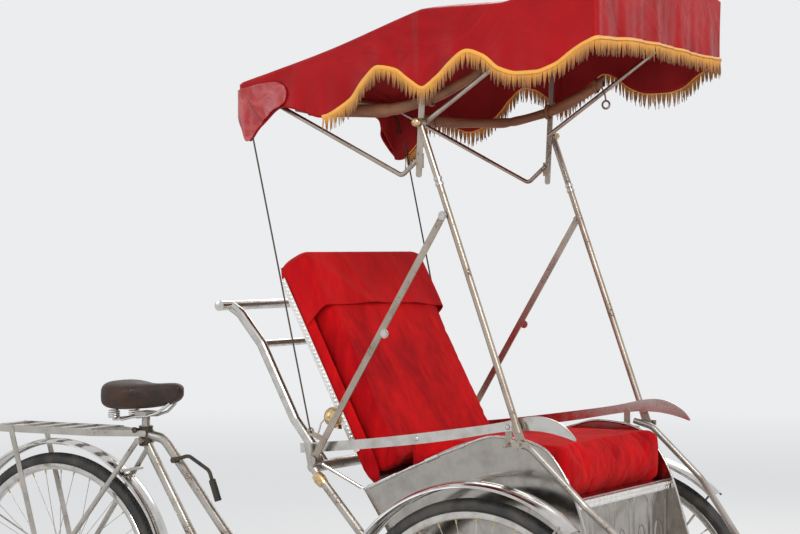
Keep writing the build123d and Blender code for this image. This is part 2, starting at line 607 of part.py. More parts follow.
# Seat box
pan_back_x = -345
pan_t = 8
pan_middle = (SEAT_FRONT_X + pan_back_x) / 2
pan = Pos(pan_middle, 0, SEAT_PAN_Z + pan_t / 2) * Box(SEAT_FRONT_X - pan_back_x, 2 * PANEL_Y, pan_t)
save("seat_pan", pan)
apron = Pos(SEAT_FRONT_X + PANEL_T / 2, 0, (BASE_Z + SEAT_PAN_Z) / 2 + 8) * Box(
    PANEL_T, 2 * PANEL_Y, SEAT_PAN_Z - BASE_Z - 8)
save("seat_apron", apron)
trim_t = 4
trim_high = 20
trim = Pos(SEAT_FRONT_X + PANEL_T + trim_t / 2, 0, SEAT_PAN_Z - 6) * Box(trim_t, 2 * PANEL_Y - 8, trim_high)
save("seat_trim", trim)
cushion_back = BACK_FOOT[0] + 8
cushion_front = SEAT_FRONT_X - 4
cushion = Pos((cushion_front + cushion_back) / 2, 0, (SEAT_PAN_Z + 9 + CUSHION_TOP_Z) / 2) * Box(
    cushion_front - cushion_back, 2 * SEAT_HALF, CUSHION_TOP_Z - SEAT_PAN_Z - 9)
cushion = fillet(cushion.edges().filter_by(Axis.Y).group_by(Axis.Z)[-1], 34)
save("seat_cushion", cushion)

# Seat back, leaning on its board
lean = Pos(BACK_FOOT[0], 0, BACK_FOOT[1]) * Rot(0, -BACK_LEAN, 0)
back = Pos(-BACK_THICK / 2, 0, BACK_LENGTH / 2 + 14) * Box(BACK_THICK, 2 * BACK_HALF, BACK_LENGTH - 28)
back = fillet(back.edges().filter_by(Axis.X).group_by(Axis.Z)[-1], 40)
back = fillet(back.edges().filter_by(Axis.Y), 18)
save("back_cushion", lean * back)
board_half = PANEL_Y - 4
board_high = BACK_LENGTH - 12
board = Pos(-BACK_THICK - BOARD_T / 2, 0, board_high / 2) * Box(BOARD_T, 2 * board_half, board_high)
save("back_board", lean * board)
strip = Pos(-BACK_THICK + 10, BACK_HALF + 2, BACK_LENGTH / 2) * Box(16, 3, BACK_LENGTH - 90)
save("back_strips", *[lean * piece for piece in both(strip)])

# Push bar
push_path = [rail_bend, (-560, 806), (-654, 984), (-716, 1058), (-746, 1076)]
upright = side_rod(push_path, PUSH_Y, PUSH_R, 40)
handle = axle_piece(*push_path[-1], PUSH_R, -PUSH_Y - 48, PUSH_Y + 48)
rung = axle_piece(*push_path[2], PUSH_R - 3, -PUSH_Y, PUSH_Y)
push_bar = upright.fuse(mirror(upright, about=Plane.XZ), handle, rung) - rear_cross
save("push_bar", push_bar)

# Armrests: flat bars whose front ends widen to a leaf and bend down
arm_points = [(-513, 742), (-394, 753), (-233, 772), (-26, 804), (60, 819), (120, 823), (165, 812),
              (203, 790)]
arm_line = Spline(*arm_points)
arm_outline = []
leaf_half = 0.7 * ARM_H
for share, half in ((0, ARM_H / 2), (0.3, ARM_H / 2), (0.6, ARM_H / 2), (0.76, ARM_H / 2), (0.88, leaf_half),
                    (0.95, ARM_H / 2), (1, 2)):
    spot = arm_line @ share
    slope = arm_line % share
    arm_outline.append((spot, Vector(-slope.Y, slope.X) * half))
upper = Spline(*[spot + normal for spot, normal in arm_outline])
lower = Spline(*[spot - normal for spot, normal in reversed(arm_outline)])
arm_face = [upper, Line(upper @ 1, lower @ 0), lower, Line(lower @ 1, upper @ 0)]
arm = side_plate(arm_face, ARM_Y, ARM_Y + ARM_T)
save("armrests", *both(arm))
arm_post = flat_bar((36, 776), (36, 806), 16, ARM_Y - 3, ARM_Y)
ledge_from = PANEL_Y + PANEL_T
ledge = Pos(46, (ledge_from + hoop_start_y) / 2, 768) * Box(36, hoop_start_y - ledge_from, 4)
save("arm_posts", *both(arm_post.fuse(ledge) - hoop))

# Front mudguards with their stays
front_guard = mudguard(FRONT_GUARD_HALF, 48, 172)
save("front_mudguards", *both(at_wheel(0, TRACK_HALF, front_guard)[0]))
wheel_stays = []
for angle in (52, 166):
    turn = math.radians(angle)
    lip_r = GUARD_R - 10
    tip = (lip_r * math.cos(turn), TRACK_HALF + FRONT_GUARD_HALF + 3.2, WHEEL_R + lip_r * math.sin(turn))
    start = (12 * math.cos(turn), TRACK_HALF + HUB_HALF + 11, WHEEL_R + 12 * math.sin(turn))
    wheel_stays.append(rod([start, tip], 3))
tie_from = PANEL_Y + PANEL_T
tie = Pos(0, (tie_from + TRACK_HALF) / 2, WHEEL_R + GUARD_R + 1.5) * Box(24, TRACK_HALF - tie_from, 3)
save("front_guard_stays", *[twin for piece in [*wheel_stays, tie] for twin in both(piece)])

# Pins that the hood's feet hook on
foot_x, foot_z = STRUT_FOOT
foot_y = HOOD_Y + 2
pin = axle_piece(foot_x, foot_z, PIN_R, hoop_start_y - 2, foot_y + 20)
wing = axle_piece(foot_x, foot_z, 9, foot_y + 6, foot_y + 12)
pin = pin.fuse(wing, Pos(foot_x, foot_y + 11, foot_z) * Box(40, 4, 12))
save("hood_pins", *both(pin - hoop))

# Hood struts, forked at the foot
strut_dir = Vector(STRUT_TOP[0] - foot_x, STRUT_TOP[1] - foot_z).normalized()
tube_low = (foot_x + strut_dir.X * 26, foot_z + strut_dir.Y * 26)
strut = side_rod([tube_low, STRUT_TOP], HOOD_Y, STRUT_R)
fork_top = (foot_x + strut_dir.X * 40, foot_z + strut_dir.Y * 40)
fork = flat_bar((foot_x, foot_z), fork_top, 22, foot_y, foot_y + 3)
slot_low = (foot_x - strut_dir.X * 30, foot_z - strut_dir.Y * 30)
slot = flat_bar((foot_x, foot_z), slot_low, 2 * PIN_R + 1.2, foot_y - 1, foot_y + 4)
joint_bolt = axle_piece(*STRUT_JOINT, 5, HOOD_Y - 4, STAY_Y + STAY_T + 5)
top_bolt = axle_piece(*STRUT_TOP, 5, HOOD_Y - 24, HOOD_Y + STRUT_R + 4)
head = axle_piece(*STRUT_TOP, 11, HOOD_Y - STRUT_R, HOOD_Y + STRUT_R)
strut = (strut.fuse(fork, head) - slot) - joint_bolt - top_bolt
save("hood_struts", *both(strut))

# Diagonal stays with their bolts and the eyes for the guy ropes
stay = flat_bar(HOOD_PIVOT, STRUT_JOINT, STAY_W, STAY_Y, STAY_Y + STAY_T)
eye_spot = (HOOD_PIVOT[0] - 4, HOOD_PIVOT[1] + 64)
eye = flat_bar((HOOD_PIVOT[0] + 30, HOOD_PIVOT[1] + 50), eye_spot, 12, STAY_Y, STAY_Y + STAY_T)
pivot_eye = axle_piece(*HOOD_PIVOT, 13, STAY_Y, STAY_Y + STAY_T)
pivot_hole = axle_piece(*HOOD_PIVOT, pivot_pin_r + RUNNING_GAP, STAY_Y - 2, STAY_Y + STAY_T + 2)
stay = stay.fuse(eye, pivot_eye, joint_bolt) - pivot_hole
save("diagonal_stays", *both(stay))

# Bows that carry the canopy
roof_line = [(-665, 1606), (-590, 1627), (-168, 1758), (37, 1768), (271, 1822)]
bow_y = HOOD_Y - 16
leg_y = (HOOD_Y - STRUT_R - 5, HOOD_Y - STRUT_R - 1)
main_low = (-190, 1384)
main_top_z = 1740
leg = flat_bar(main_low, (-174, main_top_z - 20), 14, leg_y[0], leg_y[1])
crown = ThreePointArc((-174, -leg_y[1], main_top_z - 20), (-174, 0, main_top_z + CANOPY_CROWN - 12),
                      (-174, leg_y[1], main_top_z - 20))
crown_rod = sweep(Plane(origin=crown @ 0, z_dir=crown % 0) * Circle(6), path=crown)
main_bow = crown_rod.fuse(leg, mirror(leg, about=Plane.XZ))
bolts = both(top_bolt)
main_bow = main_bow - bolts[0] - bolts[1]
save("main_bow", main_bow)
ball = Pos(STRUT_TOP[0], HOOD_Y + STRUT_R + BALL_R, STRUT_TOP[1]) * Sphere(BALL_R)
save("bow_bolts", *both(top_bolt.fuse(ball)))


def bow(side_points, y, top_radius):
    """Bow with a straight arm each side and a cross rod along its far end."""
    arm_side = side_rod(side_points, y, BOW_R, top_radius)
    end = side_points[-1]
    cross = axle_piece(end[0], end[1], BOW_R + 1, -y - BOW_R - 2, y + BOW_R + 2)
    return arm_side.fuse(mirror(arm_side, about=Plane.XZ), cross)


front_bow = bow([STRUT_TOP, (roof_line[-1][0] - 19, roof_line[-1][1] - 24)], bow_y - 6, None)
save("front_bow", front_bow - bolts[0] - bolts[1])
rear_bow = bow([(-191, 1424), (-239, 1382), (roof_line[0][0] + 15, roof_line[0][1] - 14)], bow_y - 4, 14)
block = Pos(main_low[0], leg_y[0] - 4, main_low[1] + 32) * Box(16, 8, 34)
blocks = both(block)
save("rear_bow", rear_bow.fuse(*blocks) - main_bow)

# Canopy: crowned roof with scalloped valances
def roof_section(x, z, half, thickness):
    """Thin arched strip across the roof at one station."""
    low = z - thickness
    over = ThreePointArc((-half, z), (0, z + CANOPY_CROWN), (half, z))
    under = ThreePointArc((half, low), (0, low + CANOPY_CROWN), (-half, low))
    face = make_face([over, Line((half, z), (half, low)), under, Line((-half, low), (-half, z))])
    return Plane(origin=(x, 0, 0), x_dir=(0, 1, 0), z_dir=(1, 0, 0)) * face


roof = None
for (x0, z0), (x1, z1) in zip(roof_line[:-1], roof_line[1:]):
    piece = loft([roof_section(x0, z0, CANOPY_HALF, CANOPY_T), roof_section(x1, z1, CANOPY_HALF, CANOPY_T)])
    roof = piece if roof is None else roof + piece
hem = [(271, 1690), (213, 1656), (150, 1622), (79, 1607), (15, 1622), (-49, 1657), (-105, 1612), (-164, 1578),
       (-220, 1604), (-277, 1629), (-355, 1560), (-433, 1519), (-500, 1538), (-545, 1548), (-632, 1460),
       (-665, 1540)]
side_outline = Polyline(*roof_line, *hem, close=True)
side_valance = side_plate(side_outline, CANOPY_HALF - CANOPY_T, CANOPY_HALF)


def end_valance(x, top_z, half_hem):
    """Valance across one end of the roof, from half a hem given as shares of the width and heights."""
    left = [(share * CANOPY_HALF, z) for share, z in half_hem]
    right = [(-y, z) for y, z in reversed(left) if y > 0]
    top = ThreePointArc((-CANOPY_HALF, top_z), (0, top_z + CANOPY_CROWN), (CANOPY_HALF, top_z))
    face = make_face([top, Polyline((CANOPY_HALF, top_z), *left, *right, (-CANOPY_HALF, top_z))])
    return extrude(Plane(origin=(x, 0, 0), x_dir=(0, 1, 0), z_dir=(1, 0, 0)) * face, amount=CANOPY_T)


front_valance = end_valance(roof_line[-1][0] - CANOPY_T, roof_line[-1][1],
                            [(1, 1690), (0.75, 1683), (0.4, 1693), (0, 1686)])
rear_valance = end_valance(roof_line[0][0], roof_line[0][1],
                           [(1, 1540), (0.9, 1464), (0.75, 1548), (0.4, 1580), (0, 1590)])
canopy = roof.fuse(*both(side_valance), front_valance, rear_valance)
save("canopy", canopy)

# Rain curtains, rolled up under both sides of the roof, tied at the kinks and sagging between
roll_points = [(-540, 1552), (-400, 1539), (-255, 1541), (-130, 1580), (-20, 1634)]
roll = None
for start, end in zip(roll_points[:-1], roll_points[1:]):
    run = side_rod([start, end], CURTAIN_Y, CURTAIN_R)
    roll = run if roll is None else roll.fuse(run)
for x, z in roll_points[1:-1]:
    roll = roll.fuse(axle_piece(x, z, CURTAIN_R, CURTAIN_Y - CURTAIN_R / 2, CURTAIN_Y + CURTAIN_R / 2))
save("rain_curtains", *both(roll))

# Guy ropes, taut from the canopy's rear corners to the eyes on the stays
guy_y = STAY_Y + STAY_T + 2
guy = rod([(-628, CANOPY_HALF - CANOPY_T - 2, 1500), (eye_spot[0], guy_y, eye_spot[1])], 2)
save("guy_ropes", *both(guy))
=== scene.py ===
import json
import math

import bpy
import numpy as np
from mathutils import Matrix, Vector


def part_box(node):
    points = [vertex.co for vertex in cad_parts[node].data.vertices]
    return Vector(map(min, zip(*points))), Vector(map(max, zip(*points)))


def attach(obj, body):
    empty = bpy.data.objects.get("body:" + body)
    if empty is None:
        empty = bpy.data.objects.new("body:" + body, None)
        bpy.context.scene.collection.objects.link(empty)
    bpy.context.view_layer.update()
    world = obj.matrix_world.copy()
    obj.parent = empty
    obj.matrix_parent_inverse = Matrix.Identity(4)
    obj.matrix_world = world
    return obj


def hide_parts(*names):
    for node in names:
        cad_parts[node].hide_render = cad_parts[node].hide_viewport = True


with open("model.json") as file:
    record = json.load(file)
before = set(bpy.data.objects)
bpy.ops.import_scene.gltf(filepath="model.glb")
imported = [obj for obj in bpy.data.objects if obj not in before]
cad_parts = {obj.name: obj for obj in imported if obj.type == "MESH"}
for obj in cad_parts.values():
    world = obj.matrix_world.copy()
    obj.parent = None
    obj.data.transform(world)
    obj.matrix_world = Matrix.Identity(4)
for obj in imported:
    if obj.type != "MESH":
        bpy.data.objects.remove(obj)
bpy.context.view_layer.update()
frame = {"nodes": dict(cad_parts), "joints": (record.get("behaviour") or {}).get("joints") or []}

# Stage
# A pale floor fades into a pale sky under three large soft lamps. The camera stands ahead of the front axle and
# to the right, at chest height, and looks level across the seat with a long lens.
joints = {joint["name"]: joint for joint in frame["joints"]}
AXLE_X = joints["front_left_spin"]["pos_m"][0]
CAMERA_FROM_AXLE = (2.29, -4.81, 1.22)
CAMERA_YAW = math.radians(29.5)
CAMERA_DIP = math.radians(0.54)
FOCAL_IN_WIDTHS = 2230 / 800


def place(x, y, z):
    """A point measured from the middle of the front axle, above the floor."""
    return Vector((AXLE_X + x, y, z))


camera = bpy.data.objects.new("camera", bpy.data.cameras.new("camera"))
scene = bpy.context.scene
scene.collection.objects.link(camera)
scene.camera = camera
scene.view_settings.view_transform = "Standard"
camera.data.lens = FOCAL_IN_WIDTHS * camera.data.sensor_width
camera.location = place(*CAMERA_FROM_AXLE)
ahead = Vector((-math.sin(CAMERA_YAW), math.cos(CAMERA_YAW), -math.tan(CAMERA_DIP)))
camera.rotation_euler = ahead.to_track_quat("-Z", "Y").to_euler()


class Value:
    """A varying value of a finish. Sums and products of values add Math nodes to it."""

    def __init__(self, finish, socket):
        self.finish, self.socket = finish, socket

    def maths(self, operation, *values):
        return self.finish.node("Math", {"operation": operation}, *values)

    def __add__(self, other):
        return self.maths("ADD", self, other)

    def __sub__(self, other):
        return self.maths("SUBTRACT", self, other)

    def __rsub__(self, other):
        return self.maths("SUBTRACT", other, self)

    def __mul__(self, other):
        return self.maths("MULTIPLY", self, other)

    __radd__ = __add__
    __rmul__ = __mul__


class Finish:
    """One surface finish: a Principled shader and the nodes that vary it."""

    def __init__(self, name, **constants):
        self.material = bpy.data.materials.new(name)
        self.material.use_nodes = True
        self.tree = self.material.node_tree
        self.shader = self.tree.nodes["Principled BSDF"]
        for socket, value in constants.items():
            self.shader.inputs[socket.replace("_", " ")].default_value = value
        self.spot = self.node("TexCoord", output="Object")

    def node(self, kind, settings=None, *values, output=0, **named):
        """Add a node of any kind, with its settings first and then its sockets."""
        made = self.tree.nodes.new("ShaderNode" + kind)
        for name, value in (settings or {}).items():
            setattr(made, name, value)
        sockets = [(key.replace("_", " "), value) for key, value in named.items()]
        for key, value in [*enumerate(values), *sockets]:
            if isinstance(value, Value):
                self.tree.links.new(value.socket, made.inputs[key])
            elif value is not None:
                made.inputs[key].default_value = value
        return Value(self, made.outputs[output])

    def stretched(self, x, y, z):
        """Surface coordinates scaled along each axis, for grain and scratches."""
        return self.node("VectorMath", {"operation": "MULTIPLY"}, self.spot, (x, y, z))

    def noise(self, scale, detail=3.0, coordinates=None, distortion=0.0):
        return self.node("TexNoise", None, Vector=coordinates or self.spot, Scale=scale, Detail=detail,
                         Distortion=distortion)

    def between(self, value, low, high, start=0.0, end=1.0):
        """Map a value's range onto another, without going past its ends."""
        return self.node("MapRange", None, value, low, high, start, end)

    def blend(self, share, first, second):
        """Mix two colours, each a value or red, green and blue."""
        first, second = (part if isinstance(part, Value) else tint(*part[:3]) for part in (first, second))
        return self.node("Mix", {"data_type": "RGBA"}, share, *[None] * 5, first, second, output=2)

    def patchy(self, pattern, low, high, first, second):
        """First colour where the pattern is under low, second where it is over high."""
        return self.blend(self.between(pattern, low, high), first, second)

    def feed(self, height=None, depth=0.001, **varied):
        """Send varying values to the shader, and a height to its Normal through one bump."""
        for socket, value in varied.items():
            self.tree.links.new(value.socket, self.shader.inputs[socket.replace("_", " ")])
        if height:
            bump = self.node("Bump", None, Strength=1.0, Distance=depth, Height=height)
            self.tree.links.new(bump.socket, self.shader.inputs["Normal"])
        return self.material


def tint(red, green, blue):
    return (red, green, blue, 1.0)


SKY = tint(0.84, 0.845, 0.855)
SKY_LIGHT = tint(0.87, 0.89, 0.92)
SKY_STRENGTH = 0.85
world = bpy.data.worlds.new("sky")
scene.world = world
world.use_nodes = True
sky_nodes, sky_links = world.node_tree.nodes, world.node_tree.links
sky_light, sky_seen = sky_nodes["Background"], sky_nodes.new("ShaderNodeBackground")
sky_light.inputs["Color"].default_value, sky_seen.inputs["Color"].default_value = SKY_LIGHT, SKY
sky_light.inputs["Strength"].default_value = SKY_STRENGTH
rays = sky_nodes.new("ShaderNodeLightPath")
sky_mix = sky_nodes.new("ShaderNodeMixShader")
sky_share = rays.outputs["Is Camera Ray"]
for ray in ("Is Glossy Ray", "Is Transmission Ray"):
    both = sky_nodes.new("ShaderNodeMath")
    sky_links.new(sky_share, both.inputs[0])
    sky_links.new(rays.outputs[ray], both.inputs[1])
    sky_share = both.outputs[0]
sky_links.new(sky_share, sky_mix.inputs[0])
sky_links.new(sky_light.outputs[0], sky_mix.inputs[1])
sky_links.new(sky_seen.outputs[0], sky_mix.inputs[2])
sky_links.new(sky_mix.outputs[0], sky_nodes["World Output"].inputs["Surface"])

# Name, place from the axle, size in metres, watts and colour of each lamp
LAMPS = (("key_lamp", (3.4, -3.2, 4.2), 2.2, 150, (1.0, 0.95, 0.88)),
         ("fill_lamp", (-4.2, -3.6, 3.0), 3.2, 30, (0.90, 0.95, 1.0)),
         ("back_lamp", (-1.2, 4.2, 3.6), 3.0, 42, (1.0, 0.96, 0.90)))
LAMP_AIM = place(-0.4, 0, 0.9)
for name, spot, size, watts, colour in LAMPS:
    lamp = bpy.data.objects.new(name, bpy.data.lights.new(name, "AREA"))
    scene.collection.objects.link(lamp)
    lamp.data.shape, lamp.data.size, lamp.data.energy, lamp.data.color = "DISK", size, watts, colour
    lamp.location = place(*spot)
    lamp.rotation_euler = (LAMP_AIM - lamp.location).to_track_quat("-Z", "Y").to_euler()

FLOOR_HALF = 30.0
FADE_FROM, FADE_TO = 3.0, 11.0
NO_LIGHT = (0, 0, 0)
floor_finish = Finish("floor", Specular_IOR_Level=0.0, Emission_Strength=1.0)
floor_grain = floor_finish.noise(14.0, 5.0)
away = floor_finish.node("VectorMath", {"operation": "LENGTH"}, floor_finish.spot, output=1)
floor_finish.feed(floor_grain, 0.0006, Roughness=floor_finish.between(floor_grain, 0.3, 0.7, 0.75, 0.95),
                  Base_Color=floor_finish.patchy(away, FADE_FROM, FADE_TO, (0.80, 0.797, 0.79), NO_LIGHT),
                  Emission_Color=floor_finish.patchy(away, FADE_FROM, FADE_TO, NO_LIGHT, SKY))
floor_mesh = bpy.data.meshes.new("floor")
corners = [(x * FLOOR_HALF, y * FLOOR_HALF, 0) for x, y in ((-1, -1), (1, -1), (1, 1), (-1, 1))]
floor_mesh.from_pydata(corners, [], [(0, 1, 2, 3)])
floor_mesh.materials.append(floor_finish.material)
floor = bpy.data.objects.new("floor", floor_mesh)
scene.collection.objects.link(floor)

# Wheels
# Three 26 inch bicycle wheels: a rolled box rim in bright steel, thirty-six crossed wire spokes with brass
# nipples, and a turned hub. The front ones run on stubs of the fixed axle.
WHEEL_R = joints["front_left_spin"]["pos_m"][2]
TRACK_HALF = joints["front_left_spin"]["pos_m"][1]
REAR_AXLE_X = joints["rear_wheel_spin"]["pos_m"][0] - AXLE_X
RIM_R = 0.302
RIM_SEAT_R = 0.296
RIM_FOOT_R = 0.284
RIM_HALF = 0.016
SPOKES = 36
SPOKE_R = 0.0011
SPOKE_LEAN = math.radians(52)
FLANGE_R = 0.029
FLANGE_Y = 0.023
HEAD_R = FLANGE_R - 0.0035
VALVE_TURN = math.radians(5)
HUB_R = 0.015
HUB_HALF = 0.030
FRONT_BORE_R = 0.0083
REAR_BORE_R = 0.0063


def polar(centre, radius, angle, y):
    """A point on a circle round an axis along Y."""
    return Vector((centre[0] + radius * math.cos(angle), centre[1] + y, centre[2] + radius * math.sin(angle)))


class Shape:
    """Points and faces of one piece, gathered from turned parts, tubes and sheets."""

    def __init__(self):
        self.points, self.faces, self.skins = [], [], []

    def loft(self, rings, around=True, loop=False, caps=True, flip=False, skin=0):
        """Join rings of points in turn. Around closes each ring, and loop joins the last one to the first."""
        start, count, total = len(self.points), len(rings[0]), len(rings)
        faces = []
        for ring in range(total if loop else total - 1):
            near, far = ring * count, (ring + 1) % total * count
            for i in range(count if around else count - 1):
                j = (i + 1) % count
                quad = (near + i, near + j, far + j, far + i)
                faces.append((quad[0], *quad[:0:-1]) if flip else quad)
        if caps:
            first, last = range(count), range((total - 1) * count, total * count)
            faces.append(first if flip else reversed(first))
            faces.append(reversed(last) if flip else last)
        self.points.extend(tuple(point) for ring in rings for point in ring)
        self.faces.extend([index + start for index in face] for face in faces)
        self.skins.extend([skin] * len(faces))
        return self

    def turned(self, profile, centre, steps=96, start=0.0, sweep=360.0):
        """Turn a closed profile of radius and Y pairs round an axis along Y."""
        whole = sweep >= 360
        angles = np.radians(start + sweep * np.arange(steps if whole else steps + 1) / steps)
        rings = [[polar(centre, radius, angle, y) for radius, y in profile] for angle in angles]
        return self.loft(rings, loop=whole, caps=not whole, flip=True)

    def tube(self, path, radius, sides=12, skin=0, flat=1.0, up=(0, 0, 1), loop=False):
        """Sweep a circle, or an oval if flat isn't 1, along a path, with one radius or one for each point."""
        path = [Vector(point) for point in path]
        count = len(path)
        radii = radius if hasattr(radius, "__len__") else [radius] * count
        side = None
        rings = []
        for i, point in enumerate(path):
            before = path[i - 1] if i or loop else path[0]
            after = path[(i + 1) % count] if loop else path[min(i + 1, count - 1)]
            along = (after - before).normalized()
            if side is None:
                up = Vector(up) if abs(along.dot(Vector(up))) < 0.95 else Vector((1, 0, 0))
                side = up.cross(along).normalized()
            side = (side - along * side.dot(along)).normalized()
            over = along.cross(side)
            rings.append([point + side * radii[i] * math.cos(turn) + over * radii[i] * flat * math.sin(turn)
                          for turn in (2 * math.pi * k / sides for k in range(sides))])
        return self.loft(rings, loop=loop, caps=not loop, skin=skin)

    def collar(self, middle, along, half, radius, sides=24):
        """A short straight bar, such as a band, a bolt or a nut."""
        return self.tube([middle - along * half, middle + along * half], radius, sides)

    def stud(self, foot, out, rises, radii, sides=10):
        """A domed head that stands on a surface."""
        return self.tube([foot, *(foot + out * rise for rise in rises)], radii, sides)

    def mirrored(self):
        """Add the mirror image across the middle plane."""
        start = len(self.points)
        self.points += [(x, -y, z) for x, y, z in self.points]
        self.faces += [[index + start for index in reversed(face)] for face in self.faces]
        self.skins += list(self.skins)
        return self

    def piece(self, name, finishes, body, nodes=(), slot=None, sharp=40.0):
        """Make the object, with smooth shading up to an angle, and let it ride on its body."""
        mesh = bpy.data.meshes.new(name)
        mesh.from_pydata(self.points, [], self.faces)
        for finish in finishes if isinstance(finishes, (list, tuple)) else [finishes]:
            mesh.materials.append(finish)
        mesh.polygons.foreach_set("material_index", self.skins)
        mesh.polygons.foreach_set("use_smooth", [True] * len(mesh.polygons))
        mesh.update()
        mesh.set_sharp_from_angle(angle=math.radians(sharp))
        made = bpy.data.objects.new(name, mesh)
        scene.collection.objects.link(made)
        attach(made, body)
        if nodes:
            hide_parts(*nodes)
        return made


def bright_plate():
    """Bright plated steel with fine scratches and a film of dust."""
    finish = Finish("bright_plate", Metallic=1.0)
    film = finish.noise(38.0, 4.0)
    hairs = finish.noise(900.0, 2.0, finish.stretched(1.0, 0.15, 1.0))
    colour = finish.patchy(film, 0.45, 0.75, (0.60, 0.585, 0.56), (0.44, 0.41, 0.375))
    rough = finish.between(film, 0.35, 0.75, 0.12, 0.34) + hairs * 0.05
    return finish.feed(hairs, 0.00004, Base_Color=colour, Roughness=rough)


def worn(name, pattern, colours, rough=None, depth=0.0, stretch=None, **constants):
    """Finish whose colour, roughness and relief follow one cloudy pattern."""
    finish = Finish(name, **constants)
    scale, detail, distortion = pattern
    cloud = finish.noise(scale, detail, finish.stretched(*stretch) if stretch else None, distortion)
    varied = {"Roughness": finish.between(cloud, *rough)} if rough else {}
    return finish.feed(cloud if depth else None, depth, Base_Color=finish.patchy(cloud, *colours), **varied)


def wheel(name, centre, bore_r, body, node):
    shape = Shape()
    rim = [(RIM_SEAT_R, RIM_HALF - 0.003), (RIM_R - 0.0012, RIM_HALF - 0.0030),
           (RIM_R + 0.0003, RIM_HALF - 0.0015), (RIM_R - 0.001, RIM_HALF), (RIM_R - 0.006, RIM_HALF),
           (RIM_FOOT_R + 0.005, RIM_HALF - 0.0010), (RIM_FOOT_R + 0.001, RIM_HALF - 0.005),
           (RIM_FOOT_R, RIM_HALF - 0.009)]
    barrel = [(bore_r, -HUB_HALF), (0.0125, -HUB_HALF), (HUB_R, -HUB_HALF + 0.002), (HUB_R, -FLANGE_Y - 0.003),
              (FLANGE_R, -FLANGE_Y - 0.0012), (FLANGE_R, -FLANGE_Y + 0.0014), (HUB_R, -FLANGE_Y + 0.003),
              (0.0115, -0.012)]
    for half, steps in ((rim, 144), (barrel, 48)):
        shape.turned([*half, *((radius, -y) for radius, y in reversed(half))], centre, steps)
    for i in range(SPOKES):
        side = 1 if i % 2 else -1
        rim_turn = math.radians(360 * i / SPOKES)
        hub_turn = rim_turn + (SPOKE_LEAN if i % 4 < 2 else -SPOKE_LEAN)
        head, elbow = (polar(centre, HEAD_R, hub_turn, side * (FLANGE_Y + y)) for y in (0.0022, -0.0018))
        seat = polar(centre, RIM_FOOT_R + 0.001, rim_turn, side * 0.003)
        shape.tube([head, elbow, seat], SPOKE_R, 6)
        shape.tube([head - (elbow - head).normalized() * 0.0006, head], 0.0021, 8)
        shape.tube([seat, seat + (elbow - seat).normalized() * 0.011], [0.0024, 0.0019], 8, skin=1)
    valve = [polar(centre, RIM_FOOT_R - down, VALVE_TURN, 0) for down in (0, 0.022, 0.032)]
    shape.tube(valve, [0.0042, 0.0040, 0.0030], 12, skin=2)
    return shape.piece(name, [plate, nipple_brass, black_rubber], body, [node], "spokes")


def rubber(name, dust):
    """Black rubber, greyed by road dust."""
    finish = Finish(name)
    film = finish.noise(22.0, 5.0)
    grain = finish.noise(700.0, 2.0)
    grey = finish.between(film, 0.40, 0.72, 0.05, dust)
    colour = finish.blend(grey, (0.014, 0.014, 0.015), (0.17, 0.15, 0.13))
    return finish.feed(grain, 0.00012, Base_Color=colour, Roughness=finish.between(film, 0.3, 0.7, 0.52, 0.82))


plate = bright_plate()
nipple_brass = worn("nipple_brass", (120.0, 3.0, 0.0), (0.0, 1.0, (0.72, 0.55, 0.28), (0.42, 0.31, 0.17)),
                    Metallic=1.0, Roughness=0.34)
black_rubber = rubber("black_rubber", 0.18)
left_hub = place(0, TRACK_HALF, WHEEL_R)
right_hub = place(0, -TRACK_HALF, WHEEL_R)
rear_hub = place(REAR_AXLE_X, 0, WHEEL_R)
wheel("front_left_spoked", left_hub, FRONT_BORE_R, "front_left_wheel", "front_left_wheel")
wheel("front_right_spoked", right_hub, FRONT_BORE_R, "front_right_wheel", "front_right_wheel")
wheel("rear_spoked", rear_hub, REAR_BORE_R, "rear_wheel", "rear_wheel")

# Tyres
# Black roadster tyres with a centre rib, slanted tread blocks and a thin rib on each wall. Road dust has
# greyed the rubber, and the beads sit inside the rims.
BEAD_Y = 0.0128
TYRE_HALF = 0.0178
TREAD_BLOCKS = 150
TREAD_DEPTH = 0.0016
TYRE_STEPS = 5
CENTRE_GROOVE = (math.radians(5), math.radians(9))
SHOULDER = (math.radians(52), math.radians(62))
WALL_RIB = (math.radians(96), math.radians(108))
WALL_RIB_H = 0.0005


def tyre(name, centre, body, node):
    """Turned tyre whose tread band is cut by slanted grooves."""
    middle_r = (WHEEL_R + RIM_R - 0.003) / 2
    belly = WHEEL_R - middle_r
    section = [[max(middle_r + belly * math.cos(turn), RIM_SEAT_R + 0.0008), TYRE_HALF * math.sin(turn), turn]
               for turn in np.radians(np.linspace(-142, 142, 33))]
    section[0][0:2] = [RIM_SEAT_R + 0.0006, -BEAD_Y]
    section[-1][0:2] = [RIM_SEAT_R + 0.0006, BEAD_Y]
    rings = []
    for step in range(TREAD_BLOCKS * TYRE_STEPS):
        ring = []
        for radius, y, turn in section:
            across = abs(turn)
            cut = 0.0
            if across > CENTRE_GROOVE[1]:
                phase = (step + 9.0 * across) % TYRE_STEPS / TYRE_STEPS
                fade = (across - SHOULDER[0]) / (SHOULDER[1] - SHOULDER[0])
                cut = TREAD_DEPTH * (phase < 0.34) * (1 - min(1, max(0, fade)))
            elif across > CENTRE_GROOVE[0]:
                cut = TREAD_DEPTH
            inward = WALL_RIB_H if WALL_RIB[0] < across < WALL_RIB[1] else 0.0
            angle = 2 * math.pi * step / (TREAD_BLOCKS * TYRE_STEPS)
            ring.append(polar(centre, radius - cut, angle, y - math.copysign(inward, y)))
        rings.append(ring)
    Shape().loft(rings, loop=True, caps=False, flip=True).piece(name, tyre_rubber, body, [node], "tyre", 32.0)


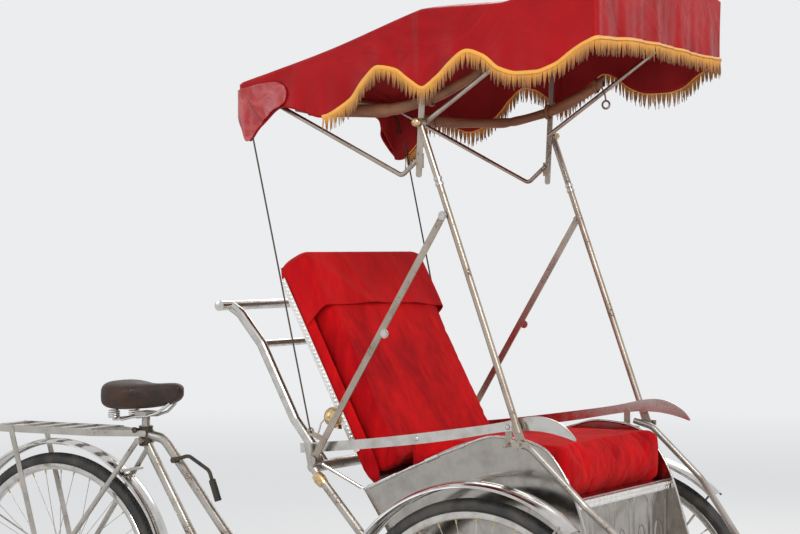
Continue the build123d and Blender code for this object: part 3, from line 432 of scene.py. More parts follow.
tyre_rubber = rubber("tyre_rubber", 0.45)
tyre("front_left_tread", left_hub, "front_left_wheel", "front_left_tyre")
tyre("front_right_tread", right_hub, "front_right_wheel", "front_right_tyre")
tyre("rear_tread", rear_hub, "rear_wheel", "rear_tyre")

# Front axle and springs
# A solid round axle runs under the seat from wheel to wheel and carries the cabin on two half-elliptic leaf
# springs, each held down by two U-bolts. Both are black with old grease.
UP = Vector((0, 0, 1))
SPRING_Y = 0.300
U_BOLT_X, U_BOLT_Y = 0.022, 0.024
U_BOLT_R = 0.005
U_BOLT_TOP = 0.374
CLAMP_HALF, CLAMP_T = 0.032, 0.005


def finish_nodes(finish, *nodes):
    """Give CAD pieces whose shape is right their surface."""
    for node in nodes:
        slots = frame["nodes"][node].data.materials
        slots.clear()
        slots.append(finish)


def greased_steel():
    """Dark forged steel under grease and dust, with rust at the bare spots."""
    finish = Finish("greased_steel")
    grime = finish.noise(26.0, 5.0)
    bare = finish.between(finish.noise(90.0, 4.0), 0.62, 0.70)
    dark = finish.patchy(grime, 0.35, 0.70, (0.035, 0.033, 0.032), (0.11, 0.085, 0.06))
    colour = finish.blend(bare * 0.6, dark, tint(0.20, 0.10, 0.055))
    return finish.feed(grime + bare * 0.4, 0.0005, Base_Color=colour, Metallic=bare * -0.4 + 0.6,
                       Roughness=finish.between(grime, 0.3, 0.7, 0.38, 0.75))


greased = greased_steel()
finish_nodes(greased, "front_axle", "leaf_springs", "rear_axle")
u_bolts = Shape()
for x in (-U_BOLT_X, U_BOLT_X):
    ends = [place(x, SPRING_Y + side * U_BOLT_Y, U_BOLT_TOP) for side in (-1, 1)]
    under = [place(x, SPRING_Y + U_BOLT_Y * math.sin(turn), WHEEL_R - 0.006 - 0.012 * math.cos(turn))
             for turn in np.radians(np.linspace(-90, 90, 9))]
    u_bolts.tube([ends[0], *under, ends[1]], U_BOLT_R, 10)
    for end in ends:
        u_bolts.collar(end - UP * 0.0065, UP, 0.0035, 0.009, 6)
clamp_top = U_BOLT_TOP - 0.014
corners = [(x * CLAMP_HALF, SPRING_Y + y * CLAMP_HALF) for x, y in ((-1, -1), (1, -1), (1, 1), (-1, 1))]
u_bolts.loft([[place(x, y, z) for x, y in corners] for z in (clamp_top, clamp_top + CLAMP_T)])
u_bolts.mirrored().piece("spring_u_bolts", greased, "cabin", slot="drive_steel")

# Rear frame
# Plated steel tubes, brazed at a dark lug under the saddle. The main tube drops and runs level under the cabin
# to the kingpin; a second tube, the seat tube and two pairs of stays brace it. The plating has dulled.
ACROSS = Vector((0, 1, 0))
SEAT_LUG = (-1.205, 0.0)
SEAT_LUG_LOW = 0.6925
SEAT_LUG_R, LUG_BAND_R = 0.0182, 0.0195
CAP_PROFILE = ((0.006, 0.011), (0.0095, 0.006), (0.0105, 0.0), (0.0002, 0.012))


def dulled_plate(name, bright, dull):
    """Old plated tube: cloudy, scratched along its length, with rust freckles."""
    finish = Finish(name)
    cloud = finish.noise(16.0, 5.0)
    freckle = finish.between(finish.noise(210.0, 3.0) * 0.6 + cloud * 0.4, 0.585, 0.64)
    hairs = finish.noise(500.0, 2.0, finish.stretched(0.2, 1.0, 0.3))
    metal = finish.patchy(cloud, 0.35, 0.68, bright, dull)
    colour = finish.blend(freckle, metal, tint(0.15, 0.075, 0.04))
    return finish.feed(hairs + freckle * 2.0, 0.00006, Base_Color=colour, Metallic=1 - freckle * 0.8,
                       Roughness=finish.between(cloud, 0.3, 0.7, 0.24, 0.42) + freckle * 0.35 + hairs * 0.06)


tube_steel = dulled_plate("tube_steel", (0.50, 0.475, 0.44), (0.36, 0.33, 0.295))
finish_nodes(tube_steel, "main_tube", "lower_tube", "seat_tube", "chain_stays", "seat_stays", "seat_post",
             "rear_guard_stays", "carrier", "carrier_stays", "side_rails", "kingpin_beam", "cross_tubes",
             "foot_hoops", "foot_rails", "foot_bar", "front_guard_stays")
seat_lug_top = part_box("main_tube")[1].z - 0.003
lug = Shape()
for z in (SEAT_LUG_LOW + 0.0005, seat_lug_top):
    lug.collar(place(*SEAT_LUG, z), UP, 0.001, LUG_BAND_R, 32)
lug.tube([place(*SEAT_LUG, SEAT_LUG_LOW), place(*SEAT_LUG, seat_lug_top)], SEAT_LUG_R, 32)
bolt = place(SEAT_LUG[0] - 0.020, 0, seat_lug_top - 0.009)
for y, half, radius, sides in ((0, 0.022, 0.0045, 12), (-0.024, 0.003, 0.0085, 6), (0.024, 0.003, 0.0085, 6)):
    lug.collar(bolt + ACROSS * y, ACROSS, half, radius, sides)
lug.piece("seat_lug", greased, "rear_frame", slot="drive_steel")

axle_nuts, wheel_caps = Shape(), Shape()
for side in (-1, 1):
    outer = Vector((rear_hub.x, side * (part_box("rear_axle")[1].y - 0.001), rear_hub.z))
    inner = outer - ACROSS * side * 0.0095
    axle_nuts.tube([inner, outer], [0.0125, 0.0118], 6)
    axle_nuts.tube([inner - ACROSS * side * 0.0015, inner], 0.0135, 24)
    hub = Vector((AXLE_X, side * (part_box("front_axle")[1].y - 0.002), WHEEL_R))
    wheel_caps.turned([(radius, side * y) for radius, y in CAP_PROFILE], hub, 32)
axle_nuts.piece("rear_axle_nuts", plate, "rear_frame", slot="spokes")
wheel_caps.piece("front_axle_caps", plate, "cabin", slot="spokes")

# Drive
# A forty-four tooth chainring on a cottered crank drives the rear freewheel through a half-inch chain. The links
# are pressed plates on rollers, all dark with oil.
PITCH = 0.0127
CHAIN_LINKS = 120
RING_TEETH = 44
SPROCKET_TEETH = 28
CHAIN_Y = -0.044
ROLLER_R, PIN_R = 0.0037, 0.0017
PLATE_H, PLATE_T = 0.0086, 0.0010
PLATE_Y = (0.0026, 0.0036)
WAIST_HALF = PLATE_H * 0.36
CRANK = (joints["crank_spin"]["pos_m"][0] - AXLE_X, joints["crank_spin"]["pos_m"][2])


def oiled(name, base, bright):
    """Bare steel under dark oil, bright where parts rub."""
    finish = Finish(name, Metallic=1.0)
    film = finish.noise(70.0, 4.0)
    rub = finish.noise(340.0, 2.0)
    colour = finish.patchy(film * 0.7 + rub * 0.3, 0.38, 0.66, base, bright)
    return finish.feed(rub, 0.0001, Base_Color=colour, Roughness=finish.between(film, 0.3, 0.7, 0.28, 0.55))


oiled_steel = oiled("oiled_steel", (0.20, 0.185, 0.165), (0.46, 0.43, 0.39))
crank_steel = oiled("crank_steel", (0.42, 0.40, 0.37), (0.66, 0.64, 0.60))
finish_nodes(crank_steel, "crankset")
finish_nodes(oiled_steel, "rear_sprocket")


def chain_line():
    """Roller places round both chain wheels, one pitch apart along the loop."""
    ring_r, rear_r = (PITCH / 2 / math.sin(math.pi / teeth) for teeth in (RING_TEETH, SPROCKET_TEETH))
    across, drop = CRANK[0] - REAR_AXLE_X, CRANK[1] - WHEEL_R
    centres = math.hypot(across, drop)
    tilt, taper = math.atan2(drop, across), math.asin((ring_r - rear_r) / centres)
    run = centres * math.cos(taper)
    ring_arc, rear_arc = ring_r * (math.pi + 2 * taper), rear_r * (math.pi - 2 * taper)
    whole = 2 * run + ring_arc + rear_arc
    up, down = math.pi / 2 + taper + tilt, -math.pi / 2 - taper + tilt
    spots = []
    for link in range(CHAIN_LINKS):
        at = whole * link / CHAIN_LINKS
        if at < run:
            spot = polar(rear_hub, rear_r, up, CHAIN_Y).lerp(polar(crank_hub, ring_r, up, CHAIN_Y), at / run)
        elif at < run + ring_arc:
            spot = polar(crank_hub, ring_r, up - (at - run) / ring_r, CHAIN_Y)
        elif at < 2 * run + ring_arc:
            share = (at - run - ring_arc) / run
            spot = polar(crank_hub, ring_r, down, CHAIN_Y).lerp(polar(rear_hub, rear_r, down, CHAIN_Y), share)
        else:
            spot = polar(rear_hub, rear_r, down - (at - 2 * run - ring_arc) / rear_r, CHAIN_Y)
        spots.append(spot)
    return spots


crank_hub = place(CRANK[0], 0, CRANK[1])
plate_end = [(PLATE_H / 2 * math.cos(turn), PLATE_H / 2 * math.sin(turn))
             for turn in np.radians((-60, -20, 20, 60))]
link_plate = [*((-u, v) for u, v in plate_end), (PITCH / 2, WAIST_HALF),
              *((PITCH + u, -v) for u, v in plate_end), (PITCH / 2, -WAIST_HALF)]
chain = Shape()
rollers = chain_line()
for link, roller in enumerate(rollers):
    chain.collar(roller, ACROSS, 0.0024, ROLLER_R, 10)
    chain.collar(roller, ACROSS, 0.0050, PIN_R, 8)
    along = (rollers[(link + 1) % CHAIN_LINKS] - roller).normalized()
    over = Vector((-along.z, 0, along.x))
    for side in (-1, 1):
        spot = roller + ACROSS * side * PLATE_Y[link % 2]
        chain.loft([[spot + along * u + over * v + ACROSS * thick for u, v in link_plate]
                    for thick in (-PLATE_T / 2, PLATE_T / 2)], flip=True)
chain.piece("chain_links", oiled_steel, "rear_frame", ["chain"], "drive_steel")

# Pedals
# Block pedals: two ribbed rubber blocks on each steel spindle, held between pressed end plates. At rest they
# stand level, one ahead of the crank's axle and one behind it.
PEDAL_LENGTH = 0.090
CRANK_LENGTH = 0.170
CRANK_FACE_Y = 0.070
BLOCK_HALF_X, BLOCK_HALF_Z = 0.011025, 0.0118
BLOCK_OFFSET = 0.031
BLOCK_RIBS = 12
RIB_STEPS = ((-0.0033, 0.88), (-0.00198, 1.0), (0.00198, 1.0), (0.0033, 0.88))
END_PLATE_T, END_PLATE_TALL = 0.0014, 6.0
rib_ring = [(BLOCK_HALF_X * math.cos(turn), BLOCK_HALF_Z * math.sin(turn))
            for turn in np.linspace(0, 2 * math.pi, 17)[:-1]]
pedals = Shape()
for x, side in ((CRANK[0] + CRANK_LENGTH, -1), (CRANK[0] - CRANK_LENGTH, 1)):
    inner, outer = CRANK_FACE_Y + 0.008, CRANK_FACE_Y + 0.008 + PEDAL_LENGTH
    pedals.tube([place(x, side * y, CRANK[1]) for y in (CRANK_FACE_Y, outer)], 0.0065, 16, skin=1)
    for offset in (-BLOCK_OFFSET, BLOCK_OFFSET):
        for rib in range(BLOCK_RIBS):
            middle = side * (inner + 0.006 + (PEDAL_LENGTH - 0.012) * (rib + 0.5) / BLOCK_RIBS)
            pedals.loft([[place(x + offset + u * grow, middle + y, CRANK[1] + v * grow) for u, v in rib_ring]
                         for y, grow in RIB_STEPS])
        pedals.tube([place(x + offset, side * y, CRANK[1]) for y in (inner + 0.002, outer - 0.002)], 0.008, 12)
    for y in (inner + 0.0015, outer - 0.0015):
        pedals.tube([place(x + offset, side * y, CRANK[1]) for offset in (-BLOCK_OFFSET, BLOCK_OFFSET)],
                    END_PLATE_T, 12, skin=1, flat=END_PLATE_TALL)
pedals.piece("block_pedals", [black_rubber, plate], "crank", ["pedals"], "rubber")

# Brake lever
# A bent dark rod on the right of the main tube pulls on the rear brake. It ends in a slim rubber grip with
# raised rings.
GRIP_PATH = ((-0.976, -0.026, 0.615), (-0.966, -0.026, 0.589), (-0.956, -0.026, 0.561))
GRIP_RINGS = 9
finish_nodes(greased, "brake_lever")
grip = Shape()
grip_path = [place(*spot) for spot in GRIP_PATH]
grip.tube(grip_path, [0.0080, 0.0086, 0.0082], 24)
for step in range(GRIP_RINGS):
    spot = grip_path[0].lerp(grip_path[2], step / GRIP_RINGS + 0.06)
    grip.collar(spot, (grip_path[2] - grip_path[0]).normalized(), 0.0014, 0.0092)
grip.piece("brake_grip", black_rubber, "rear_frame", slot="rubber")

# Saddle
# A broad leather saddle, worn smooth and dark, with a deep skirt and a riveted plate at the tail. It sits on two
# coil springs and a wire frame, clamped to the post.
TAIL_X, NOSE_X = -1.312, -1.085
SPRING_X = -1.276
SADDLE_LOW, SADDLE_HIGH = 0.786, 0.869
SPRING_COILS = 4
SADDLE_WIRE = ((SPRING_X, 0.045, -0.024), (-1.255, 0.034, -0.025), (-1.225, 0.023, -0.017),
               (-1.185, 0.0225, -0.015), (-1.150, 0.022, -0.004), (-1.118, 0.014, 0.020))


def old_leather():
    """Dark brown leather, polished where the rider sits and cracked along the edges."""
    finish = Finish("old_leather", Specular_IOR_Level=0.45)
    pores = finish.node("TexVoronoi", {"feature": "DISTANCE_TO_EDGE"}, Vector=finish.spot, Scale=420.0)
    stain = finish.noise(20.0, 4.0)
    colour = finish.patchy(stain, 0.35, 0.68, (0.022, 0.011, 0.007), (0.065, 0.028, 0.015))
    return finish.feed(finish.between(pores, 0.0, 0.12) + stain * 0.5, 0.00035, Base_Color=colour,
                       Roughness=finish.between(stain, 0.3, 0.7, 0.30, 0.52))


leather = old_leather()
saddle = Shape()
sections, ring_points = 40, 28
rings = []
for share in np.linspace(0, 1, sections + 1):
    ends = (1 - abs(2 * share - 1) ** 7) ** 0.5
    wide = 0.022 + 0.076 * (1 / (1 + math.exp((share - 0.46) * 13)))
    wide *= 1 - 0.18 * max(0, 1 - share / 0.12) ** 2
    dip = 0.010 * math.sin(math.pi * min(1, max(0, (share - 0.05) / 0.95)))
    top = SADDLE_HIGH - dip - 0.004 * share
    low = SADDLE_LOW + 0.026 * share ** 2.5
    ring = []
    for turn in 2 * math.pi * np.arange(ring_points) / ring_points:
        across, rise = (math.copysign(abs(part) ** 0.62, part) for part in (math.cos(turn), math.sin(turn)))
        z = (top + low) / 2 + (top - low) / 2 * rise * max(ends, 0.04)
        ring.append(place(TAIL_X + (NOSE_X - TAIL_X) * share, wide * across * max(ends, 0.02), z))
    rings.append(ring)
saddle.loft(rings, flip=True)
for y in (-0.060, -0.030, 0.0, 0.030, 0.060):
    rivet = place(TAIL_X + 0.008 + 0.35 * abs(y) ** 1.5, y, (SADDLE_LOW + SADDLE_HIGH) / 2 + 0.006)
    saddle.tube([rivet, rivet - Vector((0.0045, 0, 0))], [0.0062, 0.0038], 16, skin=1)
saddle.piece("saddle_top", [leather, plate], "rear_frame", ["saddle"], "saddle_leather", 60.0)
springs = Shape()
for side in (-1, 1):
    coil = []
    for share in np.linspace(0, 1, SPRING_COILS * 16 + 1):
        turn = 2 * math.pi * SPRING_COILS * share
        radius = 0.0130 + 0.0015 * math.sin(math.pi * share)
        coil.append(place(SPRING_X + radius * math.cos(turn), side * 0.045 + radius * math.sin(turn),
                          SADDLE_LOW - 0.0225 + 0.0235 * share))
    springs.tube(coil, 0.0021, 8)
    springs.tube([place(x, side * y, SADDLE_LOW + z) for x, y, z in SADDLE_WIRE], 0.0038, 10)
springs.collar(place(SPRING_X, 0, SADDLE_LOW - 0.024), ACROSS, 0.048, 0.0045, 10)
springs.piece("saddle_wire", plate, "rear_frame", ["saddle_springs"], "chrome")

# Mudguards
# Rolled stainless strips with a crowned middle, a raised centre bead and wired edges. They stand on flat steel
# stays, riveted at the lips. The front pair covers the back and top of each wheel.
GUARD_R = 0.369
GUARD_LIP_R = GUARD_R - 0.0125
GUARD_T = 0.0012
REAR_GUARD_HALF, FRONT_GUARD_HALF = 0.029, 0.035
REAR_GUARD_ARC, FRONT_GUARD_ARC = (8, 168), (48, 172)


def stainless(name, wave_depth, bright=(0.62, 0.61, 0.59), dull=(0.49, 0.475, 0.45)):
    """Polished stainless sheet, slightly wavy, with wiping marks and road film."""
    finish = Finish(name, Metallic=1.0)
    wave = finish.noise(7.0, 1.0)
    film = finish.noise(30.0, 4.0)
    wipe = finish.noise(260.0, 2.0, finish.stretched(0.25, 1.0, 1.0))
    colour = finish.patchy(film, 0.42, 0.74, bright, dull)
    rough = finish.between(film, 0.35, 0.75, 0.09, 0.19) + wipe * 0.04
    return finish.feed(wave + wipe * 0.0015, wave_depth, Base_Color=colour, Roughness=rough)


guard_sheet = stainless("guard_sheet", 0.0010)


def mudguard(shape, hub, half_width, arc):
    outer = []
    for share in np.linspace(-1, 1, 25):
        bead = 0.0012 * math.exp(-(share / 0.10) ** 2)
        outer.append((GUARD_R - 0.007 * abs(share) ** 2.4 + bead - 0.0012, share * (half_width - 0.001)))
    over = [(GUARD_LIP_R, 0.0004 - half_width), *outer, (GUARD_LIP_R, half_width - 0.0004)]
    under = [(radius - GUARD_T, y * (1 - GUARD_T / half_width)) for radius, y in reversed(over)]
    shape.turned([*over, *under], hub, 120, arc[0], arc[1] - arc[0])
    for side in (-1, 1):
        shape.tube([polar(hub, GUARD_LIP_R, turn, side * (half_width - 0.0012))
                    for turn in np.radians(np.linspace(*arc, 91))], 0.0020, 8)


front_guards = Shape()
mudguard(front_guards, left_hub, FRONT_GUARD_HALF, FRONT_GUARD_ARC)
front_guards.mirrored().piece("front_guard_strips", guard_sheet, "cabin", ["front_mudguards"], "chrome")
rear_guard = Shape()
mudguard(rear_guard, rear_hub, REAR_GUARD_HALF, REAR_GUARD_ARC)
rear_guard.piece("rear_guard_strip", guard_sheet, "rear_frame", ["rear_mudguard"], "chrome")

# Cabin sides and front
# Thin stainless panels close both sides of the seat, their top edges rolled over a rod and held by bright clips.
# The front apron is beaten in tall loops under a studded trim strip.
PANEL_Y = 0.280
PANEL_T = 0.0012
PANEL_EDGE = ((-0.370, 0.646), (-0.301, 0.678), (-0.240, 0.705), (-0.130, 0.751), (-0.020, 0.785), (0.045, 0.780),
              (0.100, 0.762), (0.140, 0.720), (0.182, 0.640), (0.211, 0.545), (0.239, 0.455))
EDGE_R = 0.0032
# First and last station of each clip, and how far it stands over the rod
EDGE_CLIPS = ((1, 8, 0.0019), (11, 13, 0.0012), (15, 18, 0.0026), (20, 21, 0.0010), (23, 24, 0.0010),
              (36, 37, 0.0012), (48, 49, 0.0012), (60, 61, 0.0012))
AHEAD = Vector((1, 0, 0))
APRON_LOOPS = 5
APRON_COLUMNS, APRON_ROWS = 200, 60
LOOP_HALF = 0.020
TRIM_AHEAD = 0.0035
STUD_STEP = 0.0125


def smooth_line(table, at):
    """Value at a place along a table of points, by a curve through them that never overshoots."""
    spots, values = np.array(table).T
    steps = np.diff(values) / np.diff(spots)
    product, total = steps[:-1] * steps[1:], steps[:-1] + steps[1:]
    inner = np.where(product > 0, 2 * product / np.where(total == 0, 1, total), 0)
    slopes = np.concatenate(([steps[0]], inner, [steps[-1]]))
    at = min(max(at, spots[0]), spots[-1])
    i = min(int(np.searchsorted(spots, at, side="right")) - 1, len(spots) - 2)
    gap = spots[i + 1] - spots[i]
    t = (at - spots[i]) / gap
    return float(values[i] * (1 + 2 * t) * (1 - t) ** 2 + slopes[i] * gap * t * (1 - t) ** 2 +
                 values[i + 1] * t * t * (3 - 2 * t) + slopes[i + 1] * gap * t * t * (t - 1))


panel_sheet = stainless("panel_sheet", 0.0016, (0.43, 0.405, 0.375), (0.33, 0.305, 0.275))
finish_nodes(panel_sheet, "side_panels", "foot_deck", "seat_pan")
edge_x, edge_z = np.array(PANEL_EDGE).T
edge_at = np.concatenate(([0], np.cumsum(np.hypot(np.diff(edge_x), np.diff(edge_z)))))
edge_path = [place(smooth_line(list(zip(edge_at, edge_x)), at), PANEL_Y + PANEL_T / 2,
                   smooth_line(list(zip(edge_at, edge_z)), at)) for at in np.linspace(0, edge_at[-1], 70)]
edge_rods = Shape().tube(edge_path, EDGE_R, 12)
for start, end, thick in EDGE_CLIPS:
    edge_rods.tube(edge_path[start:end + 1], EDGE_R + thick, 16)
edge_rods.mirrored().piece("panel_edge_rods", plate, "cabin", slot="stainless")


def apron_relief(y, rise):
    """Raised tall loops, one inside the other, and a bead along each side."""
    height = 0.0
    pitch = 2 * PANEL_Y / APRON_LOOPS
    across = abs((y + PANEL_Y) % pitch - pitch / 2)
    for scale in (1.0, 0.45):
        half, top = LOOP_HALF * scale * 2.1, 0.70 * scale + 0.22
        radius = half * math.sqrt(max(0.0, 1 - (max(0.0, rise - top + 0.16) / 0.16) ** 2)) if rise < top else 0.0
        height += 0.0022 * math.exp(-((across - radius) / 0.0028) ** 2) * (0.06 < rise < top)
    return height + 0.0018 * math.exp(-((abs(y) - PANEL_Y + 0.012) / 0.004) ** 2)


def thicken(made, thickness, offset=0.0, weld=None):
    """Give a sheet its thickness, with its seams closed first if a distance is given."""
    if weld:
        made.modifiers.new("weld", "WELD").merge_threshold = weld
    thick = made.modifiers.new("thick", "SOLIDIFY")
    thick.thickness, thick.offset = thickness, offset
    return thick


trim_low, trim_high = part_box("seat_trim")
SEAT_FRONT_X = trim_low.x - AXLE_X
TRIM_LOW, TRIM_TOP = trim_low.z, trim_high.z + 0.001
APRON_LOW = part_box("seat_apron")[0].z
apron_high = TRIM_TOP - 0.004
rings = [[place(SEAT_FRONT_X - 0.001 + apron_relief(y, rise), y, APRON_LOW + (apron_high - APRON_LOW) * rise)
          for y in np.linspace(-1, 1, APRON_COLUMNS + 1) * (PANEL_Y - 0.0005)]
         for rise in np.linspace(0, 1, APRON_ROWS + 1)]
apron = Shape().loft(rings, around=False, caps=False)
thicken(apron.piece("beaten_apron", panel_sheet, "cabin", ["seat_apron"], "stainless", 180.0), PANEL_T, -1.0)
bright_trim = worn("bright_trim", (60.0, 3.0, 0.0), (0.40, 0.75, (0.90, 0.885, 0.86), (0.74, 0.715, 0.67)),
                   (0.35, 0.75, 0.16, 0.32), 0.0002, Metallic=1.0)
trim_half = PANEL_Y - 0.004
trim_corners = [(0.0005, TRIM_LOW), (0.0032, TRIM_LOW + 0.0012), (0.0032, TRIM_TOP - 0.0012), (0.0005, TRIM_TOP),
                (-TRIM_AHEAD, TRIM_TOP), (-TRIM_AHEAD, TRIM_LOW)]
trim = Shape().loft([[place(SEAT_FRONT_X + TRIM_AHEAD + x, y, z) for x, z in trim_corners]
                     for y in (-trim_half, trim_half)])
for y in np.arange(-trim_half + 0.008, trim_half - 0.004, STUD_STEP):
    for z, shift in ((TRIM_LOW + 0.0060, 0), (TRIM_TOP - 0.0060, STUD_STEP / 2)):
        spot = place(SEAT_FRONT_X + TRIM_AHEAD + 0.0030, y + shift, z)
        trim.stud(spot, AHEAD, (0.0008, 0.0016), (0.0036, 0.00306, 0.00126))
trim.piece("studded_trim", bright_trim, "cabin", ["seat_trim"], "stainless", 50.0)

# Seat cushion
# A deep foam cushion covered in bright red velvet. It lies loose in the seat between the panels, and its rounded
# front stands above the trim.
SEAT_SINK = 0.005
SEAT_EASE = 0.006
BLOCK_CELLS = 22
BLOCK_ROLL = 0.017
BULGE_CAP = 0.022
VOXEL = 0.006
PRESSURE = 4.0
SETTLE_FRAMES = 20


def velvet(name, pale, deep):
    """Red pile cloth with a fine nap, in broad paler and darker patches of painted light and shade."""
    finish = Finish(name, Roughness=0.92, Specular_IOR_Level=0.10, Sheen_Weight=0.30, Sheen_Roughness=0.35,
                    Sheen_Tint=tint(1.0, 0.12, 0.10))
    # Broad patches of painted light and shade on the pile, laid out like brushed nap streaks
    painted_light_patches = finish.noise(9.0, 4.0, finish.stretched(1.0, 1.0, 0.35), 0.6)
    nap = finish.noise(60.0, 3.0, finish.stretched(1.0, 1.0, 0.12))
    tuft = finish.noise(1500.0, 1.0)
    # Paler in the painted light, darker in the painted shade, with the cloth's own fine nap mixed in
    share = finish.between(painted_light_patches * 0.65 + nap * 0.35, 0.36, 0.62)
    return finish.feed(tuft + nap * 0.6, 0.0007, Base_Color=finish.blend(share, pale, deep))


def soft_block(low, high, inset):
    """Closed block with rolled edges, drawn as six grids that meet at the edges."""
    steps = np.linspace(-1, 1, BLOCK_CELLS + 1)
    low, high = low + inset, high - inset
    half, middle = (high - low) / 2, (high + low) / 2
    shape = Shape()
    for axis in range(3):
        for side in (-1, 1):
            start = len(shape.points)
            for a in steps:
                for b in steps:
                    spot = Vector((0, 0, 0))
                    spot[axis], spot[(axis + 1) % 3], spot[(axis + 2) % 3] = side, a, b
                    full = spot * half
                    core = Vector([max(BLOCK_ROLL - h, min(h - BLOCK_ROLL, f)) for h, f in zip(half, full)])
                    shape.points.append(tuple(middle + core + (full - core).normalized() * BLOCK_ROLL))
            for i in range(BLOCK_CELLS):
                for j in range(BLOCK_CELLS):
                    near = start + i * len(steps) + j
                    quad = (near, near + len(steps), near + len(steps) + 1, near + 1)
                    shape.faces.append(quad if side > 0 else tuple(reversed(quad)))
    return shape


def apply_modifiers(made):
    """Replace an object's mesh by what its modifiers make of it."""
    graph = bpy.context.evaluated_depsgraph_get()
    shaped = bpy.data.meshes.new_from_object(made.evaluated_get(graph))
    made.modifiers.clear()
    made.data = shaped


def blown_up(shape, name, low, high, tilt, finish):
    """Cloth cover blown up over its filling. No point moves far, and the result stays in the box of the pad."""
    mesh = bpy.data.meshes.new(name)
    mesh.from_pydata(shape.points, [], shape.faces)
    made = bpy.data.objects.new(name, mesh)
    scene.collection.objects.link(made)
    made.modifiers.new("weld", "WELD").merge_threshold = 0.0005
    remesh = made.modifiers.new("remesh", "REMESH")
    remesh.mode, remesh.voxel_size = "VOXEL", VOXEL
    apply_modifiers(made)
    before = np.array([vertex.co for vertex in made.data.vertices])
    cloth = made.modifiers.new("cloth", "CLOTH")
    cloth.settings.use_pressure = True
    cloth.settings.uniform_pressure_force = PRESSURE
    cloth.settings.effector_weights.gravity = 0.0
    cloth.settings.quality = 4
    for step in range(1, SETTLE_FRAMES + 1):
        scene.frame_set(step)
    swollen = made.evaluated_get(bpy.context.evaluated_depsgraph_get())
    move = np.array([vertex.co for vertex in swollen.data.vertices]) - before
    made.modifiers.clear()
    scene.frame_set(1)
    reach = np.linalg.norm(move, axis=1, keepdims=True)
    settled = before + move * np.minimum(1.0, BULGE_CAP / np.maximum(reach, 1e-9))
    settled = np.clip(settled, np.array(low), np.array(high))
    made.data.vertices.foreach_set("co", settled.astype(np.float32).ravel())
    made.data.update()
    made.data.polygons.foreach_set("use_smooth", [True] * len(made.data.polygons))
    rounding = made.modifiers.new("rounding", "SUBSURF")
    rounding.levels = rounding.render_levels = 1
    apply_modifiers(made)
    made.data.transform(tilt)
    made.data.materials.append(finish)
    return made


# The paler and darker velvet tones are mixed in patches of painted light and shade
red_velvet = velvet("red_velvet", (0.66, 0.006, 0.008), (0.33, 0.002, 0.006))
seat_low, seat_high = (Vector(corner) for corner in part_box("seat_cushion"))
seat_low -= Vector((0, SEAT_EASE, SEAT_SINK))
seat_high.y += SEAT_EASE
seat_shape = soft_block(seat_low, seat_high, Vector((0.003, 0.001, 0.003)))
seat_cover = blown_up(seat_shape, "seat_cover", seat_low, seat_high, Matrix.Identity(4), red_velvet)
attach(seat_cover, "cabin")
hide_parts("seat_cushion")

# Seat back
# A thick pad in the same velvet leans on a varnished board. A loose cloth sleeve covers its top, creased from
# one corner to the other, and studded bright strips close both edges.
BACK_FOOT = (-0.270, 0.686)
BACK_LEAN = math.radians(27.3)
BACK_LENGTH, BACK_HALF, BACK_THICK = 0.592, 0.290, 0.070
SLEEVE_LOW = 0.437
SLEEVE_RINGS, SLEEVE_TOP_RINGS = 44, 14
SLEEVE_R = 0.018
SLEEVE_T = 0.0012
SLEEVE_CLEAR = 0.0035
# Start across, drift, depth and width of each crease
SLEEVE_FOLDS = ((-0.95, 0.62, 0.0105, 0.15), (-0.45, 0.30, 0.0060, 0.12), (0.30, 0.20, 0.0055, 0.17))
STRIP_X = -0.006 - BACK_THICK
STRIP_LOW, STRIP_HIGH = 0.095, BACK_LENGTH - 0.042
lean = Matrix.Translation(place(BACK_FOOT[0], 0, BACK_FOOT[1])) @ Matrix.Rotation(-BACK_LEAN, 4, "Y")
back_low = Vector((-BACK_THICK, -BACK_HALF, 0.008))
back_high = Vector((0, BACK_HALF, BACK_LENGTH - 0.003))
back_shape = soft_block(back_low, back_high, Vector((0.006, 0.005, 0.008)))
back_cover = blown_up(back_shape, "back_cover", back_low, back_high, lean, red_velvet)
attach(back_cover, "cabin")
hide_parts("back_cushion")
varnish = worn("varnished_board", (26.0, 6.0, 0.5), (0.3, 0.7, (0.19, 0.080, 0.035), (0.08, 0.032, 0.016)),
               (0.3, 0.7, 0.38, 0.55), 0.0004, (1.0, 1.0, 0.06), Coat_Weight=0.3)
finish_nodes(varnish, "back_board")


def round_loop(x_low, x_high, y_half, radius):
    """Corner points of a rounded rectangle."""
    loop = []
    for x, sx, sy, start in ((x_high, 1, -1, 270), (x_high, 1, 1, 0), (x_low, -1, 1, 90), (x_low, -1, -1, 180)):
        centre = (x - sx * radius, sy * (y_half - radius))
        loop.extend(Vector((centre[0] + radius * math.cos(turn), centre[1] + radius * math.sin(turn), 0))
                    for turn in np.radians(np.linspace(start, start + 90, 7)))
    return loop


def sleeve_fold(y, rise, front):
    """Slack cloth: long creases that run down from the top edge, drifting to the left."""
    fold = 0.0012 * math.sin(21 * y + 5 * rise) * (1 - rise)
    for start, drift, depth, wide in SLEEVE_FOLDS:
        line = start + drift * (1 - rise)
        fold += depth * math.exp(-((y / BACK_HALF - line) / wide) ** 2) * (1 - rise) ** 0.4
    return fold * (1.0 if front else 0.35)


